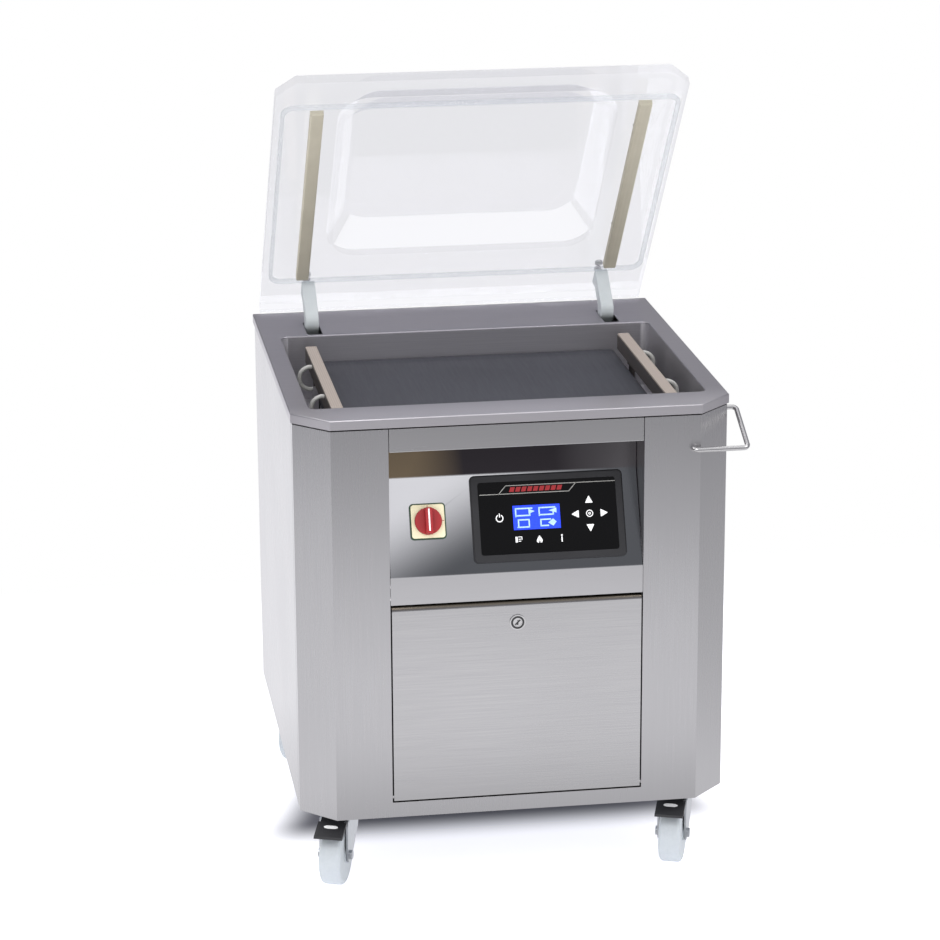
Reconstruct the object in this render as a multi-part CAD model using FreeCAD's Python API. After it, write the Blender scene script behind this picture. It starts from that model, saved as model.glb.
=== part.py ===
import FreeCAD, Part
import math
import os

from FreeCAD import Vector

# A floor-standing chamber vacuum sealer: a stainless cabinet on four castors, a chamber sunk into
# its top, two heated sealing bars in the chamber, and a clear hinged lid that gas springs hold open.
# Millimetres. The origin is on the floor under the middle of the deck; +Z is up, and the front
# (console and service door) faces -Y.

# Driving dimensions
WIDTH = 780.0  # deck, side to side
DEPTH = 790.0  # deck, front to back
HEIGHT = 882.5  # floor to deck top
CORNER = 62.0  # the front corners of deck and cabinet are cut off by this much
SHEET = 2.0  # cabinet sheet
DECK_SHEET = 3.0
DECK_LIP = 17.0
DECK_OVERHANG = 3.0
TRAY_HEIGHT = 22.0
SEAM = 3.0  # gap between neighbouring cabinet panels
RUNNING = 0.05  # radial clearance of a shaft in its bore
BODY_GAP = 0.6  # least gap between parts that move past each other

# Chamber
CHAMBER_WIDTH = 708.0
FRONT_RIM = 85.0
REAR_BAND = 192.0
CHAMBER_DEPTH = 124.0
CHAMBER_CORNER = 14.0
PLATE_TOP_DEPTH = 50.0  # deck top to filler plate
PLATE_COUNT = 2

# Sealing bars
BAR_X = 300.0
BAR_WIDTH = 22.0
BAR_HEIGHT = 32.0
BAR_TOP_DEPTH = 12.0
BAR_FRONT_GAP = 10.0
BAR_REAR_GAP = 30.0
LIFT_PIN_RADIUS = 6.0
LIFT_PIN_INSET = 90.0
LEAD_RADIUS = 4.0
LEAD_LOOP = 16.0
LEAD_FRONT = 145.0  # from the bar's front end
LEAD_REAR = 120.0  # from its rear end

# Lid
LID_WIDTH = 752.0
LID_LENGTH = 700.0
LID_THICK = 20.0
LID_CORNER = 36.0
LID_OPEN = 49.0  # degrees above the deck
LID_GAP = 8.0  # closed lid's inner face above the deck
LID_REAR_CLOSED = 318.0  # y of the closed lid's rear edge
LID_REST_GAP = 1.0
DOME_X = 250.0
DOME_START = 178.0
DOME_END = 622.0
DOME_HEIGHT = 46.0
DOME_RUN = 38.0
DOME_WALL = 9.0
DOME_CORNER = 52.0
GASKET_OUT = 4.0
GASKET_WIDTH = 7.0
COUNTER_WIDTH = 24.0
COUNTER_THICK = 12.0
COUNTER_START = 120.0
COUNTER_END = 622.0

# Hinge arms, shaft and gas springs
ARM_X = 287.0
ARM_WIDTH = 25.0
ARM_DEEP = 28.0
ARM_START = 62.0  # from the lid's rear edge
ARM_PAD = 40.0
ARM_BEND = 22.0
SHAFT_RADIUS = 10.0
SLOT_CLEAR = 4.0
SLOT_SIDE = 2.0
BRACKET_THICK = 20.0
SPRING_LEVER = 80.0
SPRING_BACK = 40.0  # lower pivot in front of the shaft
SPRING_DROP = 265.0
SPRING_RADIUS = 11.0
ROD_RADIUS = 5.0
STUD_RADIUS = 4.0
OPEN_PIVOT_CLEAR = 4.6  # the upper eye is loose on its stud by this much

# Front bay
BAY_HALF = 226.0
FASCIA_BOTTOM = 62.0  # these four are below the deck top
RECESS_BOTTOM = 130.0
PANEL_BOTTOM = 291.0
STRIP_BOTTOM = 342.0
RECESS_DEPTH = 69.0
RAIL_HEIGHT = 31.0  # the front rail under the door
DOOR_GAP = 2.5
DOOR_DEPTH = 22.0
DOOR_TOP_RADIUS = 9.0
DOOR_AXIS = 6.0
DOOR_PIN_RADIUS = 3.5
LOCK_DROP = 40.0
LOCK_RADIUS = 14.0

# Console
BEZEL_WIDTH = min(274.0, 2 * BAY_HALF - 178.0)
BEZEL = (BEZEL_WIDTH, 155.0, 5.0)
BEZEL_CENTRE = (BAY_HALF - 28.0 - BEZEL_WIDTH / 2, 95.0)  # across, and up the slope from its foot
FOIL = (BEZEL_WIDTH - 27.0, 129.0)
LCD = (84.0, 43.0)
LCD_CENTRE = (BEZEL_CENTRE[0] - 21.0, 94.5)
SWITCH_CENTRE = (72.5 - BAY_HALF, 96.5)
SWITCH_SIZE = 64.0
PLATE_SIZE = 59.0
KNOB_RADIUS = 24.0

# Hanger rod
HANGER_RADIUS = 4.5
HANGER_OUT = 22.0
HANGER_FRONT = 13.0
HANGER_BEND = 12.0

# Castors
CASTOR_X = 311.0
CASTOR_Y = 302.0
CASTOR_TRAIL = 40.0
WHEEL_RADIUS = 55.0
AXLE_DROP = 85.5  # cabinet floor to axle
WHEEL_WIDTH = 40.0
AXLE_RADIUS = 5.0
FORK_SHEET = 3.5
CROWN_HEIGHT = 16.5  # the swivel head, from the fork's bridge to its plate
PEDAL_SIDE_GAP = 1.0
PEDAL_PIN = 3.0
CASTOR_TURN = {"front_left": 20.0, "front_right": 20.0, "rear_left": 30.0, "rear_right": 24.0}

# Places worked out from the sizes above
HALF = WIDTH / 2
FRONT = -DEPTH / 2
REAR = DEPTH / 2
SIDE = HALF - DECK_OVERHANG
FACE = FRONT + DECK_OVERHANG
BACK = REAR - DECK_OVERHANG
BEVEL = CORNER - DECK_OVERHANG * (2 - math.sqrt(2))
CHAMBER_HALF = CHAMBER_WIDTH / 2
CHAMBER_FRONT = FRONT + FRONT_RIM
CHAMBER_REAR = REAR - REAR_BAND
CABINET_BOTTOM = WHEEL_RADIUS + AXLE_DROP
CHAMBER_FLOOR = HEIGHT - CHAMBER_DEPTH
PANEL_TOP = HEIGHT - DECK_LIP - SEAM
LID_INNER = HEIGHT + LID_GAP
STRIP_FOOT = HEIGHT - STRIP_BOTTOM
DOOR_TOP = STRIP_FOOT - SEAM
DOOR_FOOT = CABINET_BOTTOM + RAIL_HEIGHT
SLOPE = math.degrees(math.atan2(RECESS_DEPTH, PANEL_BOTTOM - RECESS_BOTTOM))
SLOPE_LENGTH = math.hypot(RECESS_DEPTH, PANEL_BOTTOM - RECESS_BOTTOM)

os.makedirs("parts", exist_ok=True)


def box(x0, x1, y0, y1, z0, z1):
    """A block between two corners."""
    return Part.makeBox(x1 - x0, y1 - y0, z1 - z0, Vector(x0, y0, z0))


def rod(start, end, radius):
    """A round bar from start to end."""
    run = Vector(*end) - Vector(*start)
    return Part.makeCylinder(radius, run.Length, Vector(*start), run)


def plan(points, z0, z1):
    """A prism with its outline in the XY plane."""
    corners = [Vector(x, y, z0) for x, y in points]
    return Part.Face(Part.makePolygon(corners + corners[:1])).extrude(Vector(0, 0, z1 - z0))


def profile(points, x0, x1):
    """A prism with its outline in the YZ plane."""
    corners = [Vector(x0, y, z) for y, z in points]
    return Part.Face(Part.makePolygon(corners + corners[:1])).extrude(Vector(x1 - x0, 0, 0))


def fuse(shapes):
    """One solid from shapes that touch or cross."""
    return shapes[0].multiFuse(list(shapes[1:])).removeSplitter()


def group(shapes):
    """Separate solids in one node."""
    return Part.makeCompound(list(shapes))


def along(shape, direction, radius, near=None):
    """Rounds the straight edges that run along an axis and pass the test near."""
    chosen = []
    for edge in shape.Edges:
        if edge.Curve.TypeId != "Part::GeomLine":
            continue
        run = edge.Vertexes[1].Point - edge.Vertexes[0].Point
        if abs(run.normalize().dot(Vector(*direction))) > 0.999 and (near is None or near(edge.CenterOfMass)):
            chosen.append(edge)
    return shape.makeFillet(radius, chosen)


def rounded_wire(x0, x1, y0, y1, radius, z):
    """A rectangle with round corners at height z."""
    k = radius * math.sqrt(0.5)
    cx0, cx1, cy0, cy1 = x0 + radius, x1 - radius, y0 + radius, y1 - radius

    def arc(a, b, c):
        return Part.Arc(Vector(*a, z), Vector(*b, z), Vector(*c, z)).toShape()

    def line(a, b):
        return Part.makeLine(Vector(*a, z), Vector(*b, z))

    return Part.Wire([
        line((cx0, y0), (cx1, y0)),
        arc((cx1, y0), (cx1 + k, cy0 - k), (x1, cy0)),
        line((x1, cy0), (x1, cy1)),
        arc((x1, cy1), (cx1 + k, cy1 + k), (cx1, y1)),
        line((cx1, y1), (cx0, y1)),
        arc((cx0, y1), (cx0 - k, cy1 + k), (x0, cy1)),
        line((x0, cy1), (x0, cy0)),
        arc((x0, cy0), (cx0 - k, cy0 - k), (cx0, y0)),
    ])


def rounded_block(x0, x1, y0, y1, z0, z1, radius):
    """A block with round vertical corners."""
    return Part.Face(rounded_wire(x0, x1, y0, y1, radius, z0)).extrude(Vector(0, 0, z1 - z0))


def bent_rod(points, radius, bend):
    """A round bar through points, with one bend radius at each corner between them."""
    corners = [Vector(*p) for p in points]
    edges = []
    start = corners[0]
    for before, corner, after in zip(corners, corners[1:], corners[2:]):
        into = (before - corner).normalize()
        away = (after - corner).normalize()
        half = into.getAngle(away) / 2
        cut = bend / math.tan(half)
        first = corner + into * cut
        last = corner + away * cut
        middle = (into + away).normalize()
        top = corner + middle * (bend / math.sin(half) - bend)
        edges.append(Part.makeLine(start, first))
        edges.append(Part.Arc(first, top, last).toShape())
        start = last
    edges.append(Part.makeLine(start, corners[-1]))
    path = Part.Wire(edges)
    ring = Part.Wire(Part.makeCircle(radius, corners[0], corners[1] - corners[0]))
    return path.makePipeShell([ring], True, False)


def on_slope(shape):
    """Moves a piece drawn flat (x across, y up the slope, z out of it) onto the console."""
    turned = shape.copy()
    turned.rotate(Vector(0, 0, 0), Vector(1, 0, 0), 90 - SLOPE)
    turned.translate(Vector(0, FACE, HEIGHT - PANEL_BOTTOM))
    return turned


def save(name, shape):
    """Writes one node."""
    shape.exportStep(os.path.join("parts", name + ".step"))


# The hinge axis follows from the lid's two positions: its rear edge stands on the deck's rear edge
# when open, and lies at LID_REAR_CLOSED when shut.
edge_open = (REAR, HEIGHT + LID_REST_GAP)
edge_shut = (LID_REAR_CLOSED, LID_INNER)
chord = (edge_shut[0] - edge_open[0], edge_shut[1] - edge_open[1])
reach = 0.5 / math.tan(math.radians(LID_OPEN / 2))
HINGE_Y = (edge_open[0] + edge_shut[0]) / 2 - chord[1] * reach
HINGE_Z = (edge_open[1] + edge_shut[1]) / 2 + chord[0] * reach


def opened(shape):
    """Turns a piece of the lid from shut to its resting, open place."""
    turned = shape.copy()
    turned.rotate(Vector(0, HINGE_Y, HINGE_Z), Vector(1, 0, 0), -LID_OPEN)
    return turned


def opened_point(y, z):
    """Where a point of the shut lid lies when the lid is open."""
    turn = math.radians(LID_OPEN)
    dy, dz = y - HINGE_Y, z - HINGE_Z
    return (
        HINGE_Y + dy * math.cos(turn) + dz * math.sin(turn),
        HINGE_Z - dy * math.sin(turn) + dz * math.cos(turn),
    )


def deck_outline(inset):
    """The deck's plan, or the cabinet's when inset: square at the back, corners cut at the front."""
    x, front, back = HALF - inset, FRONT + inset, REAR - inset
    cut = CORNER - inset * (2 - math.sqrt(2))
    return [(-x, back), (-x, front + cut), (-x + cut, front), (x - cut, front), (x, front + cut), (x, back)]


# Deck: the folded top sheet with the chamber's mouth and a slot for each hinge arm
arm_front = LID_REAR_CLOSED - ARM_START - ARM_PAD
arm_rear = arm_front + ARM_DEEP
slot_front = arm_front - SLOT_CLEAR
slot_rear = slot_front + 98.0
deck = plan(deck_outline(0), HEIGHT - DECK_LIP, HEIGHT)
deck = deck.cut(plan(deck_outline(DECK_SHEET), HEIGHT - DECK_LIP, HEIGHT - DECK_SHEET))
deck = deck.makeFillet(2.5, [e for e in deck.Edges if abs(e.BoundBox.ZMin - HEIGHT) < 0.01])
mouth = rounded_block(-CHAMBER_HALF, CHAMBER_HALF, CHAMBER_FRONT, CHAMBER_REAR, CHAMBER_FLOOR, HEIGHT + 1,
                      CHAMBER_CORNER)
deck = deck.cut(mouth)
slot_half = ARM_WIDTH / 2 + SLOT_SIDE
for side in (-1, 1):
    x = side * ARM_X
    deck = deck.cut(rounded_block(x - slot_half, x + slot_half, slot_front, slot_rear, HEIGHT - 20, HEIGHT + 1, 6.0))
rim = [e for e in deck.Edges if abs(e.BoundBox.ZMin - HEIGHT) < 0.01 and abs(e.BoundBox.ZMax - HEIGHT) < 0.01
       and e.BoundBox.XMax < CHAMBER_HALF + 0.1 and e.BoundBox.XMin > -CHAMBER_HALF - 0.1
       and e.BoundBox.YMin > CHAMBER_FRONT - 0.1 and e.BoundBox.YMax < CHAMBER_REAR + 0.1]
deck = deck.makeFillet(2.4, rim)
save("deck", deck)

# Chamber well: the welded tray below the mouth, with bores for the lift pins
well_top = HEIGHT - DECK_SHEET
bar_front = CHAMBER_FRONT + BAR_FRONT_GAP
bar_rear = CHAMBER_REAR - BAR_REAR_GAP
pin_places = [(s * BAR_X, y) for s in (-1, 1) for y in (bar_front + LIFT_PIN_INSET, bar_rear - LIFT_PIN_INSET)]
well = rounded_block(
    -CHAMBER_HALF - DECK_SHEET, CHAMBER_HALF + DECK_SHEET, CHAMBER_FRONT - DECK_SHEET, CHAMBER_REAR + DECK_SHEET,
    CHAMBER_FLOOR - DECK_SHEET, well_top, CHAMBER_CORNER + DECK_SHEET,
)
well = well.cut(mouth)
port_y = CHAMBER_REAR - 60.0
for x, y in pin_places:
    well = well.cut(rod((x, y, CHAMBER_FLOOR - 10), (x, y, CHAMBER_FLOOR + 10), LIFT_PIN_RADIUS + 1.0))
well = well.cut(rod((0, port_y, CHAMBER_FLOOR - 10), (0, port_y, CHAMBER_FLOOR + 10), 14.0))
terminal_height = PLATE_TOP_DEPTH + 10.0
for side in (-1, 1):
    for y in (bar_front + LEAD_FRONT, bar_rear - LEAD_REAR):
        x = side * (BAR_X + BAR_WIDTH / 2 - 6.0)
        well = well.fuse(box(x - 5, x + 5, y - 6, y + 6, CHAMBER_FLOOR, HEIGHT - terminal_height))
save("chamber_well", well.removeSplitter())

# Filler plates: loose slabs that fill the chamber between the bars; the lower one bridges the port
plate_half = BAR_X - BAR_WIDTH / 2 - 3.0
plate_thick = (CHAMBER_DEPTH - PLATE_TOP_DEPTH) / PLATE_COUNT
plates = []
for n in range(PLATE_COUNT):
    low = CHAMBER_FLOOR + n * plate_thick
    slab = rounded_block(-plate_half, plate_half, CHAMBER_FRONT + 3, CHAMBER_REAR - 3, low,
                         low + plate_thick - 0.2, 12.0)
    top_edges = [e for e in slab.Edges if abs(e.BoundBox.ZMin - low - plate_thick + 0.2) < 0.01]
    plates.append(slab.makeFillet(3.0, top_edges))
save("filler_plates", group(plates))

# Lift cylinders under the chamber floor, one round each lift pin
cylinders = []
for x, y in pin_places:
    shell = rod((x, y, CHAMBER_FLOOR - DECK_SHEET - 52), (x, y, CHAMBER_FLOOR - DECK_SHEET), 19.0)
    shell = shell.cut(rod((x, y, CHAMBER_FLOOR - DECK_SHEET - 40), (x, y, CHAMBER_FLOOR), LIFT_PIN_RADIUS + RUNNING))
    port = rod((x, y + 18, CHAMBER_FLOOR - DECK_SHEET - 44), (x, y + 28, CHAMBER_FLOOR - DECK_SHEET - 44), 5.0)
    cylinders.append(fuse([shell, port]))
save("lift_cylinders", group(cylinders))

# Sealing bars: an alloy bar on two lift pins, its heating band under a woven cover, and two leads
bar_top = HEIGHT - BAR_TOP_DEPTH
bar_foot = bar_top - BAR_HEIGHT
band_thick = 3.0
for name, side in (("left", -1), ("right", 1)):
    x = side * BAR_X
    bar = box(x - BAR_WIDTH / 2, x + BAR_WIDTH / 2, bar_front, bar_rear, bar_foot, bar_top - band_thick)
    bar = along(bar, (0, 1, 0), 1.5)
    pins = []
    for px, py in pin_places:
        if px == x:
            pins.append(rod((px, py, CHAMBER_FLOOR - DECK_SHEET - 30), (px, py, bar_foot + 5), LIFT_PIN_RADIUS))
    collar = [rod((x, py, bar_foot - 6), (x, py, bar_foot + 1), 9.0) for px, py in pin_places if px == x]
    save("seal_bar_" + name, fuse([bar] + pins + collar))
    band = box(x - BAR_WIDTH / 2 + 0.5, x + BAR_WIDTH / 2 - 0.5, bar_front + 4, bar_rear - 4,
               bar_top - band_thick, bar_top)
    band = along(band, (0, 1, 0), 1.2, lambda c: c.z > bar_top - 0.1)
    save("seal_band_" + name, band)
    leads = []
    outer = side * (BAR_X + BAR_WIDTH / 2)
    for y in (bar_front + LEAD_FRONT, bar_rear - LEAD_REAR):
        high = bar_top - 9.0
        low = high - 2 * LEAD_LOOP - 2 * LEAD_RADIUS - 2.0
        leads.append(bent_rod(
            [(outer, y, high), (outer + side * (LEAD_LOOP + 8), y, high),
             (outer + side * (LEAD_LOOP + 8), y, low), (outer - side * 0.8, y, low)],
            LEAD_RADIUS, LEAD_LOOP - 0.5,
        ))
    save("leads_" + name, group(leads))

# Cabinet: side panels with a return round the front cut, back panel with louvres, base tray
panel_foot = CABINET_BOTTOM
frame_return = 18.0
seam_y = FACE + BEVEL + frame_return
for name, side in (("left", -1), ("right", 1)):
    outside = side * SIDE
    inside = side * (SIDE - SHEET)
    low, high = sorted((outside, inside))
    panel = box(low, high, seam_y + SEAM, BACK, panel_foot, PANEL_TOP)
    turn_in, turn_out = sorted((outside, side * (SIDE - 20)))
    panel = fuse([panel, box(turn_in, turn_out, BACK - SHEET, BACK, panel_foot, PANEL_TOP)])
    save("side_panel_" + name, panel)

back_half = SIDE - 20 - SEAM
back = box(-back_half, back_half, BACK - SHEET, BACK, panel_foot, PANEL_TOP)
louvre = (86.0, 9.0)
for column in (-1, 0, 1):
    for row in range(7):
        cx = column * 190.0
        cz = panel_foot + 90 + row * 26.0
        back = back.cut(box(cx - louvre[0], cx + louvre[0], BACK - 5, BACK + 5, cz - louvre[1] / 2,
                            cz + louvre[1] / 2))
        hood = profile([(BACK, cz + 8), (BACK, cz + 6.5), (BACK + 5.5, cz - 2.5), (BACK + 5.5, cz - 1)],
                       cx - louvre[0] - 2, cx + louvre[0] + 2)
        back = back.fuse(hood)
gland_x, gland_z = 300.0, panel_foot + 52.0
gland_hole = 10.0
back = back.cut(rod((gland_x, BACK - 9, gland_z), (gland_x, BACK + 9, gland_z), gland_hole))
save("back_panel", back.removeSplitter())

# Mains gland: threaded body, inside nut and dome nut, open through the middle
gland = rod((gland_x, BACK - 16, gland_z), (gland_x, BACK + 6, gland_z), gland_hole - 0.2)
gland_nut = rod((gland_x, BACK, gland_z), (gland_x, BACK + 7, gland_z), 14.0)
inner_nut = rod((gland_x, BACK - SHEET - 6, gland_z), (gland_x, BACK - SHEET, gland_z), 14.0)
dome_nut = rod((gland_x, BACK + 6, gland_z), (gland_x, BACK + 24, gland_z), 11.5)
gland = fuse([gland, gland_nut, inner_nut, dome_nut])
GLAND_BORE = 5.0
gland = gland.cut(rod((gland_x, BACK - 30, gland_z), (gland_x, BACK + 40, gland_z), GLAND_BORE))
save("mains_gland", gland)

tray = plan(deck_outline(DECK_OVERHANG + SHEET + 0.4), panel_foot, panel_foot + TRAY_HEIGHT)
tray = tray.cut(plan(deck_outline(DECK_OVERHANG + 2 * SHEET + 0.4), panel_foot + SHEET, panel_foot + 40))
save("base_tray", tray)

# Front frame: two folded pillars that wrap the cut corners, joined by the bottom rail
pillars = []
for side in (-1, 1):
    outline = [
        (side * SIDE, seam_y), (side * SIDE, FACE + BEVEL), (side * (SIDE - BEVEL), FACE), (side * BAY_HALF, FACE),
        (side * BAY_HALF, FACE + RECESS_DEPTH + SHEET), (side * (BAY_HALF + SHEET), FACE + RECESS_DEPTH + SHEET),
        (side * (BAY_HALF + SHEET), FACE + SHEET), (side * (SIDE - BEVEL - SHEET * 0.42), FACE + SHEET),
        (side * (SIDE - SHEET), FACE + BEVEL + SHEET * 0.42), (side * (SIDE - SHEET), seam_y),
    ]
    pillar = plan(outline, panel_foot, PANEL_TOP)
    a, b = sorted((side * (BAY_HALF - 1), side * (BAY_HALF + SHEET + 1)))
    notch = box(a, b, FACE + SHEET, FACE + RECESS_DEPTH + 5, panel_foot - 1, panel_foot + TRAY_HEIGHT + 1)
    pillars.append(pillar.cut(notch))
rail_top = DOOR_FOOT - SEAM
rail = box(-BAY_HALF, BAY_HALF, FACE, FACE + SHEET, panel_foot, rail_top)
rail_fold = box(-BAY_HALF, BAY_HALF, FACE, FACE + 16, rail_top - SHEET, rail_top)
front_frame = fuse(pillars + [rail, rail_fold])

# Fascia: a shallow channel under the deck's front lip
fascia = box(-BAY_HALF + 1, BAY_HALF - 1, FACE, FACE + SHEET, HEIGHT - FASCIA_BOTTOM, PANEL_TOP)
fascia_fold = box(-BAY_HALF + 1, BAY_HALF - 1, FACE, FACE + RECESS_DEPTH, HEIGHT - FASCIA_BOTTOM,
                  HEIGHT - FASCIA_BOTTOM + SHEET)
save("fascia", fuse([fascia, fascia_fold]))

# Console: one sheet folded into the recess wall, the sloping panel and the strip under it
recess_back = FACE + RECESS_DEPTH
strip_fold = 17.0
console = profile([
    (recess_back, HEIGHT - FASCIA_BOTTOM - 1), (recess_back, HEIGHT - RECESS_BOTTOM), (FACE, HEIGHT - PANEL_BOTTOM),
    (FACE, STRIP_FOOT), (FACE + strip_fold, STRIP_FOOT), (FACE + strip_fold, STRIP_FOOT + SHEET),
    (FACE + SHEET, STRIP_FOOT + SHEET), (FACE + SHEET, HEIGHT - PANEL_BOTTOM - SHEET * 0.3),
    (recess_back + SHEET, HEIGHT - RECESS_BOTTOM - SHEET * 0.3), (recess_back + SHEET, HEIGHT - FASCIA_BOTTOM - 1),
], -BAY_HALF + 0.5, BAY_HALF - 0.5)
switch_hole = on_slope(Part.makeCylinder(20.5, 30, Vector(*SWITCH_CENTRE, -15)))
display_hole = on_slope(box(
    BEZEL_CENTRE[0] - BEZEL[0] / 2 + 12, BEZEL_CENTRE[0] + BEZEL[0] / 2 - 12,
    BEZEL_CENTRE[1] - BEZEL[1] / 2 + 12, BEZEL_CENTRE[1] + BEZEL[1] / 2 - 12, -15, 15,
))
console = console.cut(switch_hole).cut(display_hole)
save("console", console)

# Display: bezel with a bevelled edge and round corners, foil keypad set into it, and its window
bw, bh, bt = BEZEL
cx, cy = BEZEL_CENTRE
bezel = rounded_block(cx - bw / 2, cx + bw / 2, cy - bh / 2, cy + bh / 2, 0, bt, 9.0)
bezel = bezel.makeChamfer(2.5, [e for e in bezel.Edges if abs(e.BoundBox.ZMin - bt) < 0.01])
fw, fh = FOIL
foil_pocket = rounded_block(cx - fw / 2, cx + fw / 2, cy - fh / 2, cy + fh / 2, bt - 2.0, bt + 1, 5.0)
save("display_bezel", on_slope(bezel.cut(foil_pocket)))
foil = rounded_block(cx - fw / 2 + 0.2, cx + fw / 2 - 0.2, cy - fh / 2 + 0.2, cy + fh / 2 - 0.2, bt - 2.0,
                     bt - 0.8, 4.8)
lw, lh = LCD
lx, ly = LCD_CENTRE
window = box(lx - lw / 2, lx + lw / 2, ly - lh / 2, ly + lh / 2, bt - 2.0, bt - 0.7)
foil = foil.cut(box(lx - lw / 2 - 0.1, lx + lw / 2 + 0.1, ly - lh / 2 - 0.1, ly + lh / 2 + 0.1, bt - 3, bt))
save("keypad_foil", on_slope(foil))
save("lcd_window", on_slope(window))
save("control_box", on_slope(rounded_block(
    cx - bw / 2 + 14, cx + bw / 2 - 14, cy - bh / 2 + 14, cy + bh / 2 - 14, -46, -SHEET - 0.3, 5.0)))

# Main switch: body with its square flange, face plate, and the turning knob on a spindle
sx, sy = SWITCH_CENTRE
flange = rounded_block(sx - SWITCH_SIZE / 2, sx + SWITCH_SIZE / 2, sy - SWITCH_SIZE / 2, sy + SWITCH_SIZE / 2,
                       0, 3.0, 7.0)
neck = Part.makeCylinder(20.0, 34.0, Vector(sx, sy, -34))
spindle_bore = Part.makeCylinder(3.0 + RUNNING, 60, Vector(sx, sy, -28))
save("switch_body", on_slope(fuse([flange, neck]).cut(spindle_bore)))
plate = rounded_block(sx - PLATE_SIZE / 2, sx + PLATE_SIZE / 2, sy - PLATE_SIZE / 2, sy + PLATE_SIZE / 2, 3.0,
                      4.6, 5.0)
plate = plate.cut(Part.makeCylinder(5.0, 20, Vector(sx, sy, -5)))
save("switch_plate", on_slope(plate))
disc = Part.makeCylinder(KNOB_RADIUS, 7.0, Vector(sx, sy, 5.2))
disc = disc.makeFillet(1.5, [e for e in disc.Edges if abs(e.BoundBox.ZMin - 12.2) < 0.01])
grip = rounded_block(sx - 6.5, sx + 6.5, sy - KNOB_RADIUS + 1, sy + KNOB_RADIUS - 1, 10.0, 25.0, 4.0)
grip = grip.makeFillet(2.0, [e for e in grip.Edges if abs(e.BoundBox.ZMin - 25.0) < 0.01])
spindle = Part.makeCylinder(3.0, 34.0, Vector(sx, sy, -26))
save("switch_knob", on_slope(fuse([disc, grip, spindle])))

# Service door: folded pan hung on two pins at its foot, its top edge rolled back
door_half = BAY_HALF - DOOR_GAP
door = box(-door_half, door_half, FACE, FACE + DOOR_DEPTH, DOOR_FOOT, DOOR_TOP)
door = along(door, (1, 0, 0), DOOR_TOP_RADIUS, lambda c: c.z > DOOR_TOP - 1 and c.y < FACE + 1)
hollow = box(-door_half + SHEET, door_half - SHEET, FACE + SHEET, FACE + DOOR_DEPTH + 5, DOOR_FOOT + SHEET,
             DOOR_TOP - SHEET)
hollow = along(hollow, (1, 0, 0), DOOR_TOP_RADIUS - SHEET,
               lambda c: c.z > DOOR_TOP - SHEET - 1 and c.y < FACE + SHEET + 1)
door = door.cut(hollow)
axis_y, axis_z = FACE + DOOR_AXIS, DOOR_FOOT + DOOR_AXIS
pin_inside = door_half - 10.0
lugs = []
for side in (-1, 1):
    a, b = sorted((side * pin_inside, side * (door_half - SHEET)))
    lugs.append(box(a, b, FACE + SHEET, axis_y + 7, DOOR_FOOT + SHEET, axis_z + 7))
door = fuse([door] + lugs)
door = door.cut(rod((-BAY_HALF, axis_y, axis_z), (BAY_HALF, axis_y, axis_z), DOOR_PIN_RADIUS + RUNNING))
lock_z = DOOR_TOP - LOCK_DROP
door = door.cut(rod((0, FACE - 5, lock_z), (0, FACE + 8, lock_z), LOCK_RADIUS - 3.0))
cam_width, cam_reach, cam_y = 16.0, LOCK_DROP + 6.0, FACE + 19.0
door = door.cut(box(-cam_width / 2 - 2, cam_reach * 0.75, cam_y - 2, FACE + DOOR_DEPTH + 1, DOOR_TOP - 4,
                    DOOR_TOP + 1))
save("service_door", door)

pin_head = DOOR_AXIS - SHEET - 0.2
door_pins = [rod((s * (pin_inside + 1), axis_y, axis_z), (s * (BAY_HALF + SHEET + 4), axis_y, axis_z),
                 DOOR_PIN_RADIUS) for s in (-1, 1)]
heads = [rod((s * (BAY_HALF + SHEET), axis_y, axis_z), (s * (BAY_HALF + SHEET + 5), axis_y, axis_z),
             pin_head) for s in (-1, 1)]
save("door_pins", group(fuse([pin, head]) for pin, head in zip(door_pins, heads)))
save("front_frame", front_frame.cut(group(door_pins)))

# Quarter-turn lock: collar and housing in the door, and the turning barrel with its cam
collar = rod((0, FACE - 2.5, lock_z), (0, FACE, lock_z), LOCK_RADIUS)
housing = rod((0, FACE - 1, lock_z), (0, FACE + 18, lock_z), LOCK_RADIUS - 3.2)
lock_bore = rod((0, FACE - 5, lock_z), (0, FACE + 30, lock_z), 7.0)
save("lock_housing", fuse([collar, housing]).cut(lock_bore))
barrel = rod((0, FACE - 2.0, lock_z), (0, FACE + 24, lock_z), 7.0 - RUNNING)
barrel = barrel.cut(box(-1.4, 1.4, FACE - 4, FACE + 6, lock_z - 4.5, lock_z + 4.5))
cam = rounded_block(-cam_width / 2, cam_reach, -cam_width / 2, cam_width / 2, 0, 3, 6.0)
cam.rotate(Vector(0, 0, 0), Vector(1, 0, 0), 90)
cam.translate(Vector(0, cam_y + 3, lock_z))
save("lock_cam", fuse([barrel, cam]))

# Hanger rod: one bent bar from the right side panel round to the front pillar
hanger_x = SIDE + HANGER_OUT
hanger_y = FACE - HANGER_FRONT
save("hanger_rod", bent_rod(
    [(SIDE + 0.2, FRONT + 90, HEIGHT - 33), (hanger_x, FRONT + 90, HEIGHT - 33), (hanger_x, hanger_y, HEIGHT - 80),
     (SIDE - BEVEL - 14, hanger_y, HEIGHT - 80), (SIDE - BEVEL - 14, FACE - 0.2, HEIGHT - 80)],
    HANGER_RADIUS, HANGER_BEND * 0.72,
))

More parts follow.
